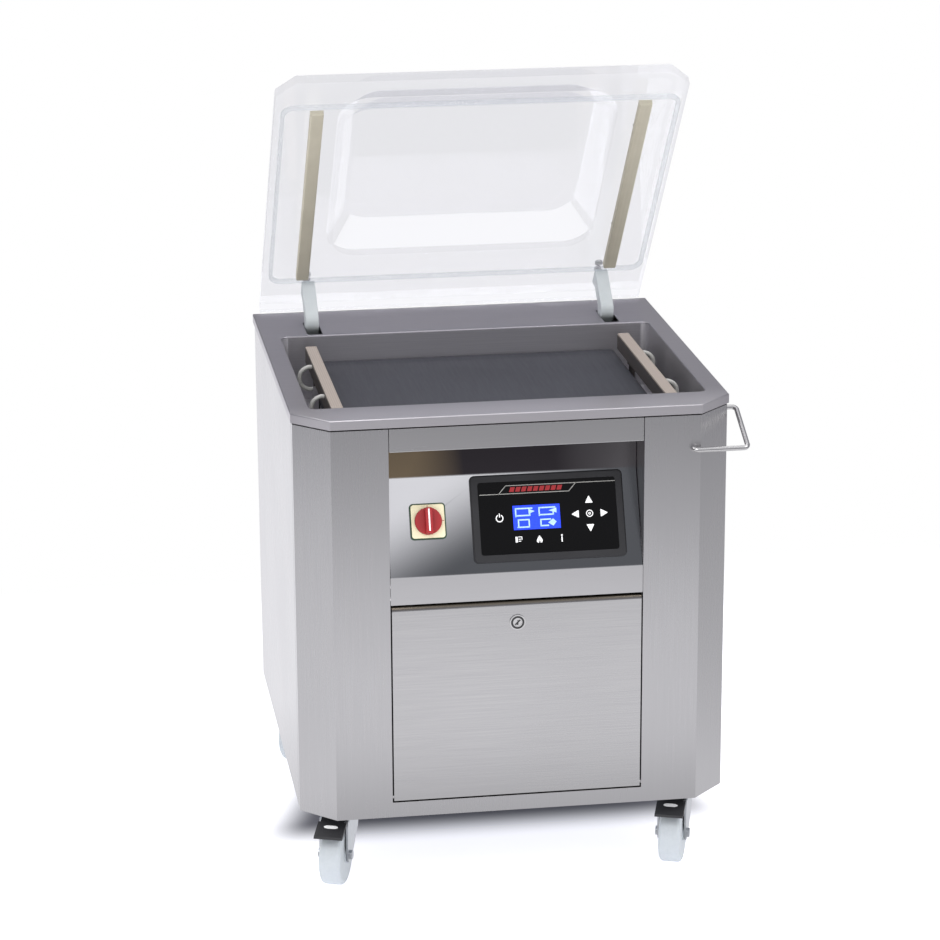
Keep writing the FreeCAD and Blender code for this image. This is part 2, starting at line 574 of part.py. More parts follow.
# Lid: a clear slab with a pressed dome
lid_half = LID_WIDTH / 2
lid_front = LID_REAR_CLOSED - LID_LENGTH
cut = LID_CORNER
lid_plan = [
    (-lid_half, LID_REAR_CLOSED), (-lid_half, lid_front + cut), (-lid_half + cut, lid_front),
    (lid_half - cut, lid_front), (lid_half, lid_front + cut), (lid_half, LID_REAR_CLOSED),
]
lid = plan(lid_plan, LID_INNER, LID_INNER + LID_THICK)
lid = lid.makeFillet(3.0, [e for e in lid.Edges if abs(e.BoundBox.ZMin - LID_INNER - LID_THICK) < 0.01])
dome_front, dome_rear = LID_REAR_CLOSED - DOME_END, LID_REAR_CLOSED - DOME_START


def dome(grow, foot, top):
    """The dome's form, with its walls drawn in by DOME_RUN over its rise."""
    base = rounded_wire(-DOME_X - grow, DOME_X + grow, dome_front - grow, dome_rear + grow, DOME_CORNER + grow, foot)
    run = DOME_RUN - grow
    inner = rounded_wire(-DOME_X + run, DOME_X - run, dome_front + run, dome_rear - run, DOME_CORNER, top)
    form = Part.makeLoft([base, inner], True, True)
    return form.makeFillet(12.0, [e for e in form.Edges if abs(e.BoundBox.ZMin - top) < 0.01])


lid_top = LID_INNER + LID_THICK + DOME_HEIGHT
lid = lid.fuse(dome(DOME_WALL, LID_INNER + LID_THICK - 2, lid_top))
lid = lid.cut(dome(0, LID_INNER - 0.5, lid_top - DOME_WALL))
save("lid", opened(lid.removeSplitter()))

# Gasket: a ring on the lid that closes round the chamber's mouth
inner_x = CHAMBER_HALF + GASKET_OUT
gasket = rounded_block(
    -inner_x - GASKET_WIDTH, inner_x + GASKET_WIDTH, CHAMBER_FRONT - GASKET_OUT - GASKET_WIDTH,
    CHAMBER_REAR + GASKET_OUT + GASKET_WIDTH, HEIGHT + 0.8, LID_INNER, CHAMBER_CORNER + GASKET_OUT + GASKET_WIDTH,
)
gasket = gasket.cut(rounded_block(
    -inner_x, inner_x, CHAMBER_FRONT - GASKET_OUT, CHAMBER_REAR + GASKET_OUT, HEIGHT, LID_INNER + 1,
    CHAMBER_CORNER + GASKET_OUT,
))
save("lid_gasket", opened(gasket))

# Counter bars: silicone bars that meet the sealing bars when the lid is shut
counters = []
for side in (-1, 1):
    x = side * BAR_X
    bar = box(x - COUNTER_WIDTH / 2, x + COUNTER_WIDTH / 2, LID_REAR_CLOSED - COUNTER_END,
              LID_REAR_CLOSED - COUNTER_START, LID_INNER - COUNTER_THICK, LID_INNER)
    counters.append(along(bar, (0, 1, 0), 2.5, lambda c: c.z < LID_INNER - 1))
save("counter_bars", opened(group(counters)))

# Counter bar screws: heads on the lid's outer face
screws = []
for side in (-1, 1):
    for share in (0.2, 0.8):
        y = LID_REAR_CLOSED - COUNTER_START - share * (COUNTER_END - COUNTER_START)
        top = LID_INNER + LID_THICK
        screws.append(rod((side * BAR_X, y, top), (side * BAR_X, y, top + 3), 6.0))
for side in (-1, 1):
    for y in (LID_REAR_CLOSED - ARM_START - 10, LID_REAR_CLOSED - ARM_START - ARM_PAD + 10):
        top = LID_INNER + LID_THICK
        screws.append(rod((side * ARM_X, y, top), (side * ARM_X, y, top + 4), 7.5))
save("lid_screws", opened(group(screws)))

# Hinge arms: cast goosenecks from the lid down through the deck slots and back to the shaft
arms = []
knee = HINGE_Z - ARM_DEEP / 2
for side in (-1, 1):
    outline = [
        (arm_front, LID_INNER), (arm_front + ARM_PAD, LID_INNER), (arm_front + ARM_PAD, LID_INNER - 5.0),
        (arm_rear, LID_INNER - 26.0), (arm_rear, HINGE_Z + ARM_DEEP / 2), (HINGE_Y, HINGE_Z + ARM_DEEP / 2),
        (HINGE_Y, knee), (arm_front, knee),
    ]
    arm = profile(outline, side * ARM_X - ARM_WIDTH / 2, side * ARM_X + ARM_WIDTH / 2)
    boss = rod((side * ARM_X - ARM_WIDTH / 2, HINGE_Y, HINGE_Z),
               (side * ARM_X + ARM_WIDTH / 2, HINGE_Y, HINGE_Z), ARM_DEEP / 2 + 6)
    arm = along(arm, (1, 0, 0), ARM_BEND, lambda c: c.y < arm_front + 1 and c.z < knee + 1)
    arm = along(arm, (1, 0, 0), 14.0, lambda c: abs(c.y - arm_rear) < 1 and c.z < HINGE_Z + ARM_DEEP)
    arm = fuse([arm, boss])
    arm = arm.cut(rod((-HALF, HINGE_Y, HINGE_Z), (HALF, HINGE_Y, HINGE_Z), SHAFT_RADIUS))
    arms.append(arm)
save("hinge_arms", opened(group(arms)))

bracket_x = ARM_X - ARM_WIDTH / 2 - 6.0
spring_x = ARM_X + ARM_WIDTH / 2 + SPRING_RADIUS + 5.0
shaft_end = ARM_X + ARM_WIDTH / 2 + 3.0
save("hinge_shaft", rod((-shaft_end, HINGE_Y, HINGE_Z), (shaft_end, HINGE_Y, HINGE_Z), SHAFT_RADIUS))

# Spring studs: one on each arm, which the gas spring's eye hangs on
lever_y = HINGE_Y - SPRING_LEVER
stud_out = spring_x + 8.0
studs = []
for side in (-1, 1):
    inner = side * (ARM_X + ARM_WIDTH / 2)
    studs.append(rod((inner, lever_y, HINGE_Z), (side * stud_out, lever_y, HINGE_Z), STUD_RADIUS))
save("spring_studs", opened(group(studs)))

# Hinge brackets: bearing blocks hung from the deck, with an arm down to the gas spring's foot
foot_y, foot_z = HINGE_Y - SPRING_BACK, HINGE_Z - SPRING_DROP
brackets = []
for side in (-1, 1):
    a, b = sorted((side * bracket_x, side * (bracket_x - BRACKET_THICK)))
    block = box(a, b, HINGE_Y - 24, HINGE_Y + 24, HINGE_Z - 26, HEIGHT - DECK_SHEET)
    block = block.cut(rod((-HALF, HINGE_Y, HINGE_Z), (HALF, HINGE_Y, HINGE_Z), SHAFT_RADIUS + RUNNING))
    leg = box(a, b, foot_y - 16, HINGE_Y + 24, foot_z - 20, HINGE_Z - 26)
    stud = rod((side * bracket_x - side, foot_y, foot_z), (side * stud_out, foot_y, foot_z), STUD_RADIUS)
    brackets.append(fuse([block, leg, stud]))
save("hinge_brackets", group(brackets))

# Gas springs: cylinder on the bracket's lower stud, rod on the arm's stud
top_y, top_z = opened_point(lever_y, HINGE_Z)
open_length = math.hypot(top_y - foot_y, top_z - foot_z)
shut_length = math.hypot(lever_y - foot_y, HINGE_Z - foot_z)
toward = ((top_y - foot_y) / open_length, (top_z - foot_z) / open_length)
tube_length = shut_length - 24.0
for name, side in (("left", -1), ("right", 1)):
    x = side * spring_x

    def at(distance):
        return (x, foot_y + toward[0] * distance, foot_z + toward[1] * distance)

    eye = rod((x - 5, foot_y, foot_z), (x + 5, foot_y, foot_z), 9.0)
    tube = fuse([rod(at(6.0), at(tube_length), SPRING_RADIUS), eye])
    tube = tube.cut(rod((x - 9, foot_y, foot_z), (x + 9, foot_y, foot_z), STUD_RADIUS + RUNNING))
    tube = tube.cut(rod(at(24.0), at(tube_length + 5), ROD_RADIUS + RUNNING))
    save("gas_spring_tube_" + name, tube)
    top_eye = rod((x - 5, top_y, top_z), (x + 5, top_y, top_z), STUD_RADIUS + OPEN_PIVOT_CLEAR + 5.0)
    piston = fuse([rod(at(open_length - shut_length + 34.0), at(open_length - 10.0), ROD_RADIUS), top_eye])
    piston = piston.cut(rod((x - 9, top_y, top_z), (x + 9, top_y, top_z), STUD_RADIUS + OPEN_PIVOT_CLEAR))
    save("gas_spring_rod_" + name, piston)

# Vacuum pump on two rubber-footed rails, with its motor, oil case and exhaust filter
pump_floor = panel_foot + SHEET
rail_height = 26.0
rails = [box(-300, 230, y - 15, y + 15, pump_floor + 12, pump_floor + rail_height) for y in (-20.0, 190.0)]
buffers = [rod((x, y, pump_floor), (x, y, pump_floor + 12), 14.0) for x in (-280.0, 210.0) for y in (-20.0, 190.0)]
save("pump_rails", group(fuse([rails[i], buffers[i], buffers[i + 2]]) for i in (0, 1)))
pump_z = pump_floor + rail_height
pump_body = box(-120, 110, -60, 240, pump_z, pump_z + 190)
pump_body = along(pump_body, (0, 1, 0), 26.0, lambda c: c.z > pump_z + 180)
fins = [box(-112 + n * 22.0, -108 + n * 22.0, -66, 246, pump_z + 20, pump_z + 150) for n in range(11)]
sight = rod((-40, -62, pump_z + 50), (-40, -72, pump_z + 50), 15.0)
intake = rod((0, 90, pump_z + 180), (0, 90, pump_z + 214), 22.0)
save("vacuum_pump", fuse([pump_body, sight, intake] + fins))
motor_z = pump_z + 106.0
motor = rod((-330, 90, motor_z), (-121, 90, motor_z), 88.0)
motor_feet = [box(-300, -150, y - 14, y + 14, pump_z, motor_z - 60) for y in (40.0, 140.0)]
cowl = rod((-352, 90, motor_z), (-330, 90, motor_z), 92.0)
terminal_box = box(-260, -180, 50, 130, motor_z + 80, motor_z + 120)
save("pump_motor", fuse([motor, cowl, terminal_box] + motor_feet))
filter_can = rod((180, 60, pump_z + 120), (180, 250, pump_z + 120), 52.0)
filter_neck = box(112, 140, 110, 170, pump_z + 95, pump_z + 145)
save("exhaust_filter", fuse([filter_can, filter_neck]))

# Valve block and hose: from the chamber's port down to the pump's intake
valve_top = CHAMBER_FLOOR - DECK_SHEET
valve = box(-45, 45, port_y - 35, port_y + 35, valve_top - 60, valve_top)
valve = valve.cut(rod((0, port_y, valve_top - 40), (0, port_y, valve_top + 5), 14.0))
coil = [rod((x, port_y - 35, valve_top - 30), (x, port_y - 75, valve_top - 30), 13.0) for x in (-22.0, 22.0)]
save("valve_block", fuse([valve] + coil))
hose_top = valve_top - 60.0
hose_foot = pump_z + 214.0
hose_middle = (hose_top + hose_foot) / 2
save("vacuum_hose", bent_rod(
    [(0, port_y, hose_top), (0, port_y, hose_middle), (0, 90, hose_middle - 20), (0, 90, hose_foot)], 17.0, 24.0,
))

# Transformer that heats the sealing bars
core = box(150, 250, -250, -150, pump_floor, pump_floor + 110)
windings = [box(138, 262, y - 18, y + 18, pump_floor + 24, pump_floor + 86) for y in (-222.0, -178.0)]
save("transformer", fuse([core] + windings))

# Castors: bolted plates, and under each a swivelling fork with its wheel; brakes on the front pair
plate_thick = 4.0
plate_foot = panel_foot - plate_thick
places = {
    "front_left": (-CASTOR_X, -CASTOR_Y), "front_right": (CASTOR_X, -CASTOR_Y),
    "rear_left": (-CASTOR_X, CASTOR_Y), "rear_right": (CASTOR_X, CASTOR_Y),
}
plates = []
for x, y in places.values():
    flat = rounded_block(x - 50, x + 50, y - 42, y + 42, plate_foot, panel_foot, 8.0)
    race = rod((x, y, plate_foot - 4), (x, y, plate_foot + 1), 15.0)
    bolts = [
        rod((x + i * 38, y + j * 30, plate_foot - 5), (x + i * 38, y + j * 30, plate_foot + 1), 6.0)
        for i in (-1, 1) for j in (-1, 1)
    ]
    plate = fuse([flat, race] + bolts)
    plates.append(plate.cut(rod((x, y, plate_foot - 20), (x, y, panel_foot - 1), 6.0 + RUNNING)))
save("castor_plates", group(plates))


def placed(shape, name):
    """Turns a castor piece to its trailing direction and moves it to its corner."""
    x, y = places[name]
    moved = shape.copy()
    moved.rotate(Vector(0, 0, 0), Vector(0, 0, 1), -CASTOR_TURN[name])
    moved.translate(Vector(x, y, 0))
    return moved


# A castor points along -Y before it is turned: its axle runs along X at y = -CASTOR_TRAIL
bridge_foot = plate_foot - CROWN_HEIGHT
bridge_top = bridge_foot + FORK_SHEET
fork_half = WHEEL_WIDTH / 2 + 3.0
fork_out = fork_half + FORK_SHEET
crown = rod((0, 0, bridge_foot), (0, 0, plate_foot - BODY_GAP), 30.0)
crown = crown.cut(rod((0, 0, plate_foot - 4 - BODY_GAP), (0, 0, plate_foot), 15.0 + BODY_GAP))
kingpin = rod((0, 0, bridge_foot), (0, 0, panel_foot - 2), 6.0)
legs = []
for side in (-1, 1):
    a, b = sorted((side * fork_half, side * fork_out))
    leg = profile([
        (28, bridge_top), (28, bridge_top - 34), (-CASTOR_TRAIL + 13, WHEEL_RADIUS - 13),
        (-CASTOR_TRAIL - 13, WHEEL_RADIUS - 13), (-CASTOR_TRAIL - 16, WHEEL_RADIUS + 20),
        (-CASTOR_TRAIL - 10, bridge_top + 3), (-34, bridge_top + 3), (-30, bridge_top),
    ], a, b)
    leg = along(leg, (1, 0, 0), 11.0, lambda c: c.z < WHEEL_RADIUS)
    legs.append(along(leg, (1, 0, 0), 16.0, lambda c: c.y > 27 and c.z < bridge_top - 20))
bridge = box(-fork_out, fork_out, -34, 28, bridge_foot, bridge_top)
axle = rod((-fork_out - 5, -CASTOR_TRAIL, WHEEL_RADIUS), (fork_out + 5, -CASTOR_TRAIL, WHEEL_RADIUS), AXLE_RADIUS)
nuts = []
for side in (-1, 1):
    start = side * (fork_out - 0.2)
    nuts.append(rod((start, -CASTOR_TRAIL, WHEEL_RADIUS), (start + side * 5, -CASTOR_TRAIL, WHEEL_RADIUS), 8.5))
fork = fuse([crown, kingpin, bridge] + legs + [axle] + nuts)
wheel = rod((-WHEEL_WIDTH / 2, -CASTOR_TRAIL, WHEEL_RADIUS), (WHEEL_WIDTH / 2, -CASTOR_TRAIL, WHEEL_RADIUS),
            WHEEL_RADIUS)
wheel = wheel.makeFillet(7.0, [e for e in wheel.Edges if e.Curve.TypeId == "Part::GeomCircle"])
hub = rod((-WHEEL_WIDTH / 2 - 2, -CASTOR_TRAIL, WHEEL_RADIUS),
          (WHEEL_WIDTH / 2 + 2, -CASTOR_TRAIL, WHEEL_RADIUS), 15.0)
wheel = fuse([wheel, hub])
wheel = wheel.cut(rod((-80, -CASTOR_TRAIL, WHEEL_RADIUS), (80, -CASTOR_TRAIL, WHEEL_RADIUS), AXLE_RADIUS + RUNNING))
# Brake pedal: turns on a cross pin between the fork's legs, over the wheel
pedal_y, pedal_z = -CASTOR_TRAIL - 3.0, bridge_top - 1.0
pedal_half = fork_half - PEDAL_SIDE_GAP
pedal_pin = rod((-fork_out - 1, pedal_y, pedal_z), (fork_out + 1, pedal_y, pedal_z), PEDAL_PIN)
shoe_foot = 2 * WHEEL_RADIUS + 2.0 - pedal_z
pedal = profile([
    (pedal_y + 6, pedal_z + 5), (pedal_y - 6, pedal_z + 7), (pedal_y - 54, pedal_z - 12), (pedal_y - 56,
            pedal_z - 16),
    (pedal_y - 52, pedal_z - 17), (pedal_y - 9, pedal_z - 1), (pedal_y - 7, pedal_z + shoe_foot),
    (pedal_y + 5, pedal_z + shoe_foot), (pedal_y + 6, pedal_z - 3),
], -pedal_half, pedal_half)
tread = profile([
    (pedal_y - 18, pedal_z + 2.2), (pedal_y - 54, pedal_z - 12), (pedal_y - 56, pedal_z - 16),
    (pedal_y - 52, pedal_z - 17), (pedal_y - 18, pedal_z - 3.6),
], -fork_out + 0.5, fork_out - 0.5)
pedal = fuse([pedal, tread])
pedal = pedal.cut(rod((-60, pedal_y, pedal_z), (60, pedal_y, pedal_z), PEDAL_PIN + RUNNING))
braked_fork = fuse([fork, pedal_pin])
for name in places:
    braked = name.startswith("front")
    save("castor_fork_" + name, placed(braked_fork if braked else fork, name))
    save("castor_wheel_" + name, placed(wheel, name))
    if braked:
        save("brake_pedal_" + name, placed(pedal, name))
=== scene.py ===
"""A floor-standing chamber vacuum packaging machine, dressed on its fixed frame."""

import bpy, bmesh, math
from mathutils import Matrix, Vector


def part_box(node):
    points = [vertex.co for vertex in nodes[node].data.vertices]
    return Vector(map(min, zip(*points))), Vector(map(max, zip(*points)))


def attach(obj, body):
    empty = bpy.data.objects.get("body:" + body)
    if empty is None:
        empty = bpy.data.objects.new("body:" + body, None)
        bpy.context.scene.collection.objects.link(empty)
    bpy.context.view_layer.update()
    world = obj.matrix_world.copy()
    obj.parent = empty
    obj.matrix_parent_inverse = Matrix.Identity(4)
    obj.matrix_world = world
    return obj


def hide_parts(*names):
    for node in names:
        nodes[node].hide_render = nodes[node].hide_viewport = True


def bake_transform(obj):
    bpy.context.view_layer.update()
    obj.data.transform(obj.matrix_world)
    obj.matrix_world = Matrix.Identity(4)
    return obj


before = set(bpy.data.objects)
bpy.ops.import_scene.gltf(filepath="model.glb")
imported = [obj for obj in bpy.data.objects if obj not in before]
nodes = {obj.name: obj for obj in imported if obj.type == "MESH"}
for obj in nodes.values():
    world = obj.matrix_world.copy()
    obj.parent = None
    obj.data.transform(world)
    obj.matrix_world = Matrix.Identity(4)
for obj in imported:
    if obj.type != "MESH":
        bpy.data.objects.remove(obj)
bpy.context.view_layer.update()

# ---------------------------------------------------------------- camera
# A long lens a little above the deck, in front of the machine and to its left.
# It is turned to the right and down, as a person stands to look into the chamber.
EYE = (-0.898, -5.720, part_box("deck")[1].z + 1.518)
YAW, PITCH, ROLL = (math.radians(a) for a in (8.69, 16.71, 0.29))
ahead = Vector((math.sin(YAW) * math.cos(PITCH), math.cos(YAW) * math.cos(PITCH), -math.sin(PITCH)))
level = Vector((math.cos(YAW), -math.sin(YAW), 0))
below = ahead.cross(level)
right = math.cos(ROLL) * level + math.sin(ROLL) * below
above = right.cross(ahead)
lens = bpy.data.cameras.new("studio_lens")
lens.lens, lens.sensor_width, lens.clip_end = 123.9, 36.0, 100.0
camera = bpy.data.objects.new("studio_camera", lens)
bpy.context.scene.collection.objects.link(camera)
camera.matrix_world = Matrix.Translation(EYE) @ Matrix((right, above, -ahead)).transposed().to_4x4()
bpy.context.scene.camera = camera


# ---------------------------------------------------------------- floor and studio light
# A pale painted studio floor under the machine, and an evenly lit pale room.
# Two soft boxes hang above it, and the metal sees the room go darker higher up.
def tone(code, alpha=1.0):
    """An sRGB hex colour as the linear one that a shader takes."""
    parts = [int(code[i:i + 2], 16) / 255 for i in (1, 3, 5)]
    return [p / 12.92 if p <= 0.04045 else ((p + 0.055) / 1.055) ** 2.4 for p in parts] + [alpha]


def put(tree, kind, inputs=None, **settings):
    """Adds one node, gives it its settings, and sets or links each input."""
    made = tree.nodes.new("ShaderNode" + kind)
    for name, value in settings.items():
        setattr(made, name, value)
    for name, value in (inputs or {}).items():
        if isinstance(value, bpy.types.NodeSocket):
            tree.links.new(value, made.inputs[name])
        else:
            made.inputs[name].default_value = value
    return made


def blank(name):
    """A new material with an empty tree, and the tree."""
    material = bpy.data.materials.new(name)
    material.use_nodes = True
    material.node_tree.nodes.clear()
    return material, material.node_tree


def show(tree, shader):
    """Makes shader the tree's surface."""
    put(tree, "OutputMaterial", {"Surface": shader})


def piece(name, mesh, material, body):
    """A new object of mesh in material that rides on body."""
    made = bpy.data.objects.new(name, mesh)
    bpy.context.scene.collection.objects.link(made)
    mesh.materials.append(material)
    if body:
        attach(made, body)
    return made


FLOOR_SIDE, FLOOR_FRONT, FLOOR_BACK = 3.2, 4.2, 4.5
studio_paint, tree = blank("studio_floor_paint_matt")
place = put(tree, "TexCoord")
spot = put(tree, "SeparateXYZ", {"Vector": place.outputs["Object"]})
ray = put(tree, "LightPath")
# Metal sees the floor fall away into the unlit room, less on the left than on the right.
fall = put(tree, "MapRange", {"Value": spot.outputs["Y"], "From Min": -3.6, "From Max": -1.7, "To Min": 0.30,
                              "To Max": 1.2},
           interpolation_type="SMOOTHSTEP")
# Near the machine, in front of it and beside it, that floor is darker still: a painted shadow of the machine,
# seen only in the metal.
dip = put(tree, "MapRange", {"Value": spot.outputs["Y"], "From Min": -0.6, "From Max": 0.0, "To Min": 1.0,
                             "To Max": 0.83})
rear = put(tree, "MapRange", {"Value": spot.outputs["Y"], "From Min": 0.0, "From Max": 0.6,
                              "To Min": dip.outputs[0], "To Max": 1.1})
off = put(tree, "Math", {0: spot.outputs["X"]}, operation="ABSOLUTE")
beyond = put(tree, "MapRange", {"Value": spot.outputs["Y"], "From Min": -0.4, "From Max": -0.2,
                                "To Min": 0.62, "To Max": 1.0})
beside = put(tree, "MapRange", {"Value": off.outputs[0], "From Min": 0.5, "From Max": 0.75,
                                "To Min": beyond.outputs[0], "To Max": 1.0})
near = put(tree, "MapRange", {"Value": spot.outputs["Y"], "From Min": -1.1, "From Max": -0.72, "To Min": 1.0,
                              "To Max": beside.outputs[0]},
           interpolation_type="SMOOTHSTEP")
left_fall = put(tree, "MapRange", {"Value": spot.outputs["X"], "From Min": -3.0, "From Max": -0.8,
                                   "To Min": 0.78, "To Max": 0.87})
right_fall = put(tree, "MapRange", {"Value": spot.outputs["X"], "From Min": 0.4, "From Max": 3.0,
                                    "To Min": 1.0, "To Max": 0.48})
along_y = put(tree, "Math", {0: fall.outputs[0], 1: rear.outputs[0]}, operation="MULTIPLY")
along_y = put(tree, "Math", {0: along_y.outputs[0], 1: near.outputs[0]}, operation="MULTIPLY")
along_x = put(tree, "Math", {0: left_fall.outputs[0], 1: right_fall.outputs[0]}, operation="MULTIPLY")
lit = put(tree, "Math", {0: along_y.outputs[0], 1: along_x.outputs[0]}, operation="MULTIPLY")
mirrored = put(tree, "Emission", {"Color": tone("#fbfbff"), "Strength": lit.outputs[0]})
# The paint is lit evenly, but for a soft dark patch under the middle of the cabinet: a painted shadow, where
# the paint turns grey and its glow fades out.
ends = put(tree, "MapRange", {"Value": spot.outputs["Y"], "From Min": -0.19, "From Max": -0.06},
           interpolation_type="SMOOTHSTEP")
splay = put(tree, "Math", {0: spot.outputs["Y"], 1: 0.4, 2: off.outputs[0]}, operation="MULTIPLY_ADD")
sides = put(tree, "MapRange", {"Value": splay.outputs[0], "From Min": 0.31, "From Max": 0.43, "To Min": 1.0,
                               "To Max": 0.0},
            interpolation_type="SMOOTHSTEP")
behind = put(tree, "MapRange", {"Value": spot.outputs["Y"], "From Min": 0.25, "From Max": 0.42, "To Min": 1.0,
                                "To Max": 0.0})
patch = put(tree, "Math", {0: ends.outputs[0], 1: sides.outputs[0]}, operation="MULTIPLY")
patch = put(tree, "Math", {0: patch.outputs[0], 1: behind.outputs[0]}, operation="MULTIPLY")
glow = put(tree, "MapRange", {"Value": patch.outputs[0], "To Min": 0.65, "To Max": 0.0})
roller = put(tree, "TexNoise", {"Vector": place.outputs["Object"], "Scale": 2.0, "Detail": 3.0})
paint = put(tree, "Mix", {0: roller.outputs["Fac"], 6: tone("#f4f4f6"), 7: tone("#f8f8f9")}, data_type="RGBA")
paint_with_painted_shadow = put(tree, "Mix", {0: patch.outputs[0], 6: paint.outputs[2], 7: tone("#76767e")}, data_type="RGBA")
matt = put(tree, "BsdfPrincipled", {"Base Color": paint_with_painted_shadow.outputs[2], "Roughness": 0.9,
                                    "Specular IOR Level": 0.1,
                                    "Emission Color": tone("#f6f6ff"), "Emission Strength": glow.outputs[0]})
in_metal = put(tree, "Math", {0: ray.outputs["Glossy Depth"], 1: 0.5}, operation="GREATER_THAN")
# Far behind the machine the floor meets the backdrop in one even white.
sweep = put(tree, "MapRange", {"Value": spot.outputs["Y"], "From Min": 0.8, "From Max": 1.4},
            interpolation_type="SMOOTHSTEP")
backdrop = put(tree, "Emission", {"Color": tone("#ffffff"), "Strength": 1.0})
painted = put(tree, "MixShader", {0: sweep.outputs[0], 1: matt.outputs[0], 2: backdrop.outputs[0]})
show(tree, put(tree, "MixShader",
               {0: in_metal.outputs[0], 1: painted.outputs[0], 2: mirrored.outputs[0]}).outputs[0])
ground = bpy.data.meshes.new("studio_floor")
ground.from_pydata([(-FLOOR_SIDE, -FLOOR_FRONT, 0), (FLOOR_SIDE, -FLOOR_FRONT, 0),
                    (FLOOR_SIDE, FLOOR_BACK, 0), (-FLOOR_SIDE, FLOOR_BACK, 0)], [], [(0, 1, 2, 3)])
piece("studio_floor", ground, studio_paint, None)

room = bpy.data.worlds.new("studio_room")
bpy.context.scene.world = room
room.use_nodes = True
tree = room.node_tree
tree.nodes.clear()
way = put(tree, "TexCoord")
side_on = put(tree, "SeparateXYZ", {"Vector": way.outputs["Generated"]})
rise = put(tree, "MapRange", {"Value": side_on.outputs["Z"], "From Min": 0.30, "From Max": 0.60},
           interpolation_type="SMOOTHSTEP")
front = put(tree, "MapRange", {"Value": side_on.outputs["Y"], "From Min": -0.2, "From Max": -0.8},
            interpolation_type="SMOOTHSTEP")
bright = put(tree, "Math", {0: rise.outputs[0], 1: front.outputs[0]}, operation="MULTIPLY")
over = put(tree, "MapRange", {"Value": side_on.outputs["Z"], "From Min": 0.7, "From Max": 1.0},
           interpolation_type="SMOOTHSTEP")
bright = put(tree, "Math", {0: bright.outputs[0], 1: over.outputs[0]}, operation="MAXIMUM")
walls = put(tree, "Mix", {0: bright.outputs[0], 6: tone("#9c9ca2"), 7: tone("#f4f4f8")}, data_type="RGBA")
ray = put(tree, "LightPath")
in_metal = put(tree, "Math", {0: ray.outputs["Glossy Depth"], 1: 0.5}, operation="GREATER_THAN")
seen = put(tree, "Mix", {0: in_metal.outputs[0], 6: tone("#ffffff"), 7: walls.outputs[2]}, data_type="RGBA")
glow = put(tree, "Background", {"Color": seen.outputs[2], "Strength": 1.0})
put(tree, "OutputWorld", {"Surface": glow.outputs[0]})
bpy.context.scene.view_settings.view_transform = "Standard"

for name, spot, aim, width, depth, power in (
    ("soft_box_left", (-2.4, -2.6, 4.2), (0.0, 0.0, 0.4), 2.6, 1.8, 55.0),
    ("soft_box_right", (2.6, -1.6, 3.8), (0.0, 0.0, 0.4), 1.8, 1.8, 25.0),
    ("soft_box_back", (0.3, 2.8, 4.4), (0.0, 0.2, 0.6), 3.0, 1.4, 25.0),
):
    lamp = bpy.data.lights.new(name, "AREA")
    lamp.shape, lamp.size, lamp.size_y, lamp.energy = "RECTANGLE", width, depth, power
    lamp_object = bpy.data.objects.new(name, lamp)
    bpy.context.scene.collection.objects.link(lamp_object)
    lamp_object.location = spot
    lamp_object.rotation_euler = (Vector(aim) - Vector(spot)).to_track_quat("-Z", "Y").to_euler()


# ---------------------------------------------------------------- castors
# Four swivel castors with 110 mm wheels, plates screwed under the base tray, and two brakes.
# Forks are pressed from zinc-plated steel, wheels are cast polyamide and pedals moulded nylon.
def dress(material, *names):
    """Gives CAD nodes this material in each slot of their objects."""
    for name in names:
        for entry in nodes[name].material_slots:
            entry.link = "OBJECT"
            entry.material = material


def ease(width, *names):
    """Rounds the sharp edges of CAD nodes a little, as real folds and cuts are."""
    for name in names:
        weld = nodes[name].modifiers.new("joined", "WELD")
        weld.merge_threshold = 1e-5
        round_over = nodes[name].modifiers.new("eased", "BEVEL")
        round_over.width, round_over.segments, round_over.limit_method = width, 3, "ANGLE"
        round_over.angle_limit, round_over.harden_normals = math.radians(35), True


def metres(millimetres):
    """Cycles per metre of a pattern that repeats each so many millimetres."""
    return 1000.0 / millimetres


# Zinc-plated pressed steel: a cool bright metal with faint cloudy spangle, a millimetre or two across.
zinc_plated, tree = blank("zinc_plated_pressed_steel")
place = put(tree, "TexCoord")
cloud = put(tree, "TexNoise", {"Vector": place.outputs["Object"], "Scale": metres(9), "Detail": 4.0})
plate = put(tree, "Mix", {0: cloud.outputs["Fac"], 6: tone("#b4b8bd"), 7: tone("#dde0e3")}, data_type="RGBA")
dull = put(tree, "MapRange", {"Value": cloud.outputs["Fac"], "To Min": 0.22, "To Max": 0.42})
dent = put(tree, "Bump", {"Height": cloud.outputs["Fac"], "Strength": 0.15, "Distance": 0.0002})
show(tree, put(tree, "BsdfPrincipled",
               {"Base Color": plate.outputs[2], "Metallic": 1.0, "Roughness": dull.outputs[0],
                                        "Normal": dent.outputs[0]}).outputs[0])
dress(zinc_plated, "castor_plates", "castor_fork_front_left", "castor_fork_front_right",
      "castor_fork_rear_left", "castor_fork_rear_right")

# Cast polyamide 6: pale, waxy and slightly see-through at its edges, scuffed on the tread.
polyamide, tree = blank("cast_polyamide_wheel")
place = put(tree, "TexCoord")
scuff = put(tree, "TexNoise", {"Vector": place.outputs["Object"], "Scale": metres(6), "Detail": 6.0,
                               "Roughness": 0.7})
waxy = put(tree, "Mix", {0: scuff.outputs["Fac"], 6: tone("#c6cbcf"), 7: tone("#b3babf")}, data_type="RGBA")
worn = put(tree, "MapRange", {"Value": scuff.outputs["Fac"], "To Min": 0.32, "To Max": 0.55})
nick = put(tree, "Bump", {"Height": scuff.outputs["Fac"], "Strength": 0.12, "Distance": 0.0003})
show(tree, put(tree, "BsdfPrincipled", {
    "Base Color": waxy.outputs[2], "Roughness": worn.outputs[0], "IOR": 1.53, "Normal": nick.outputs[0],
    "Subsurface Weight": 0.25, "Subsurface Radius": [0.004, 0.004, 0.005],
    "Subsurface Scale": 1.0}).outputs[0])
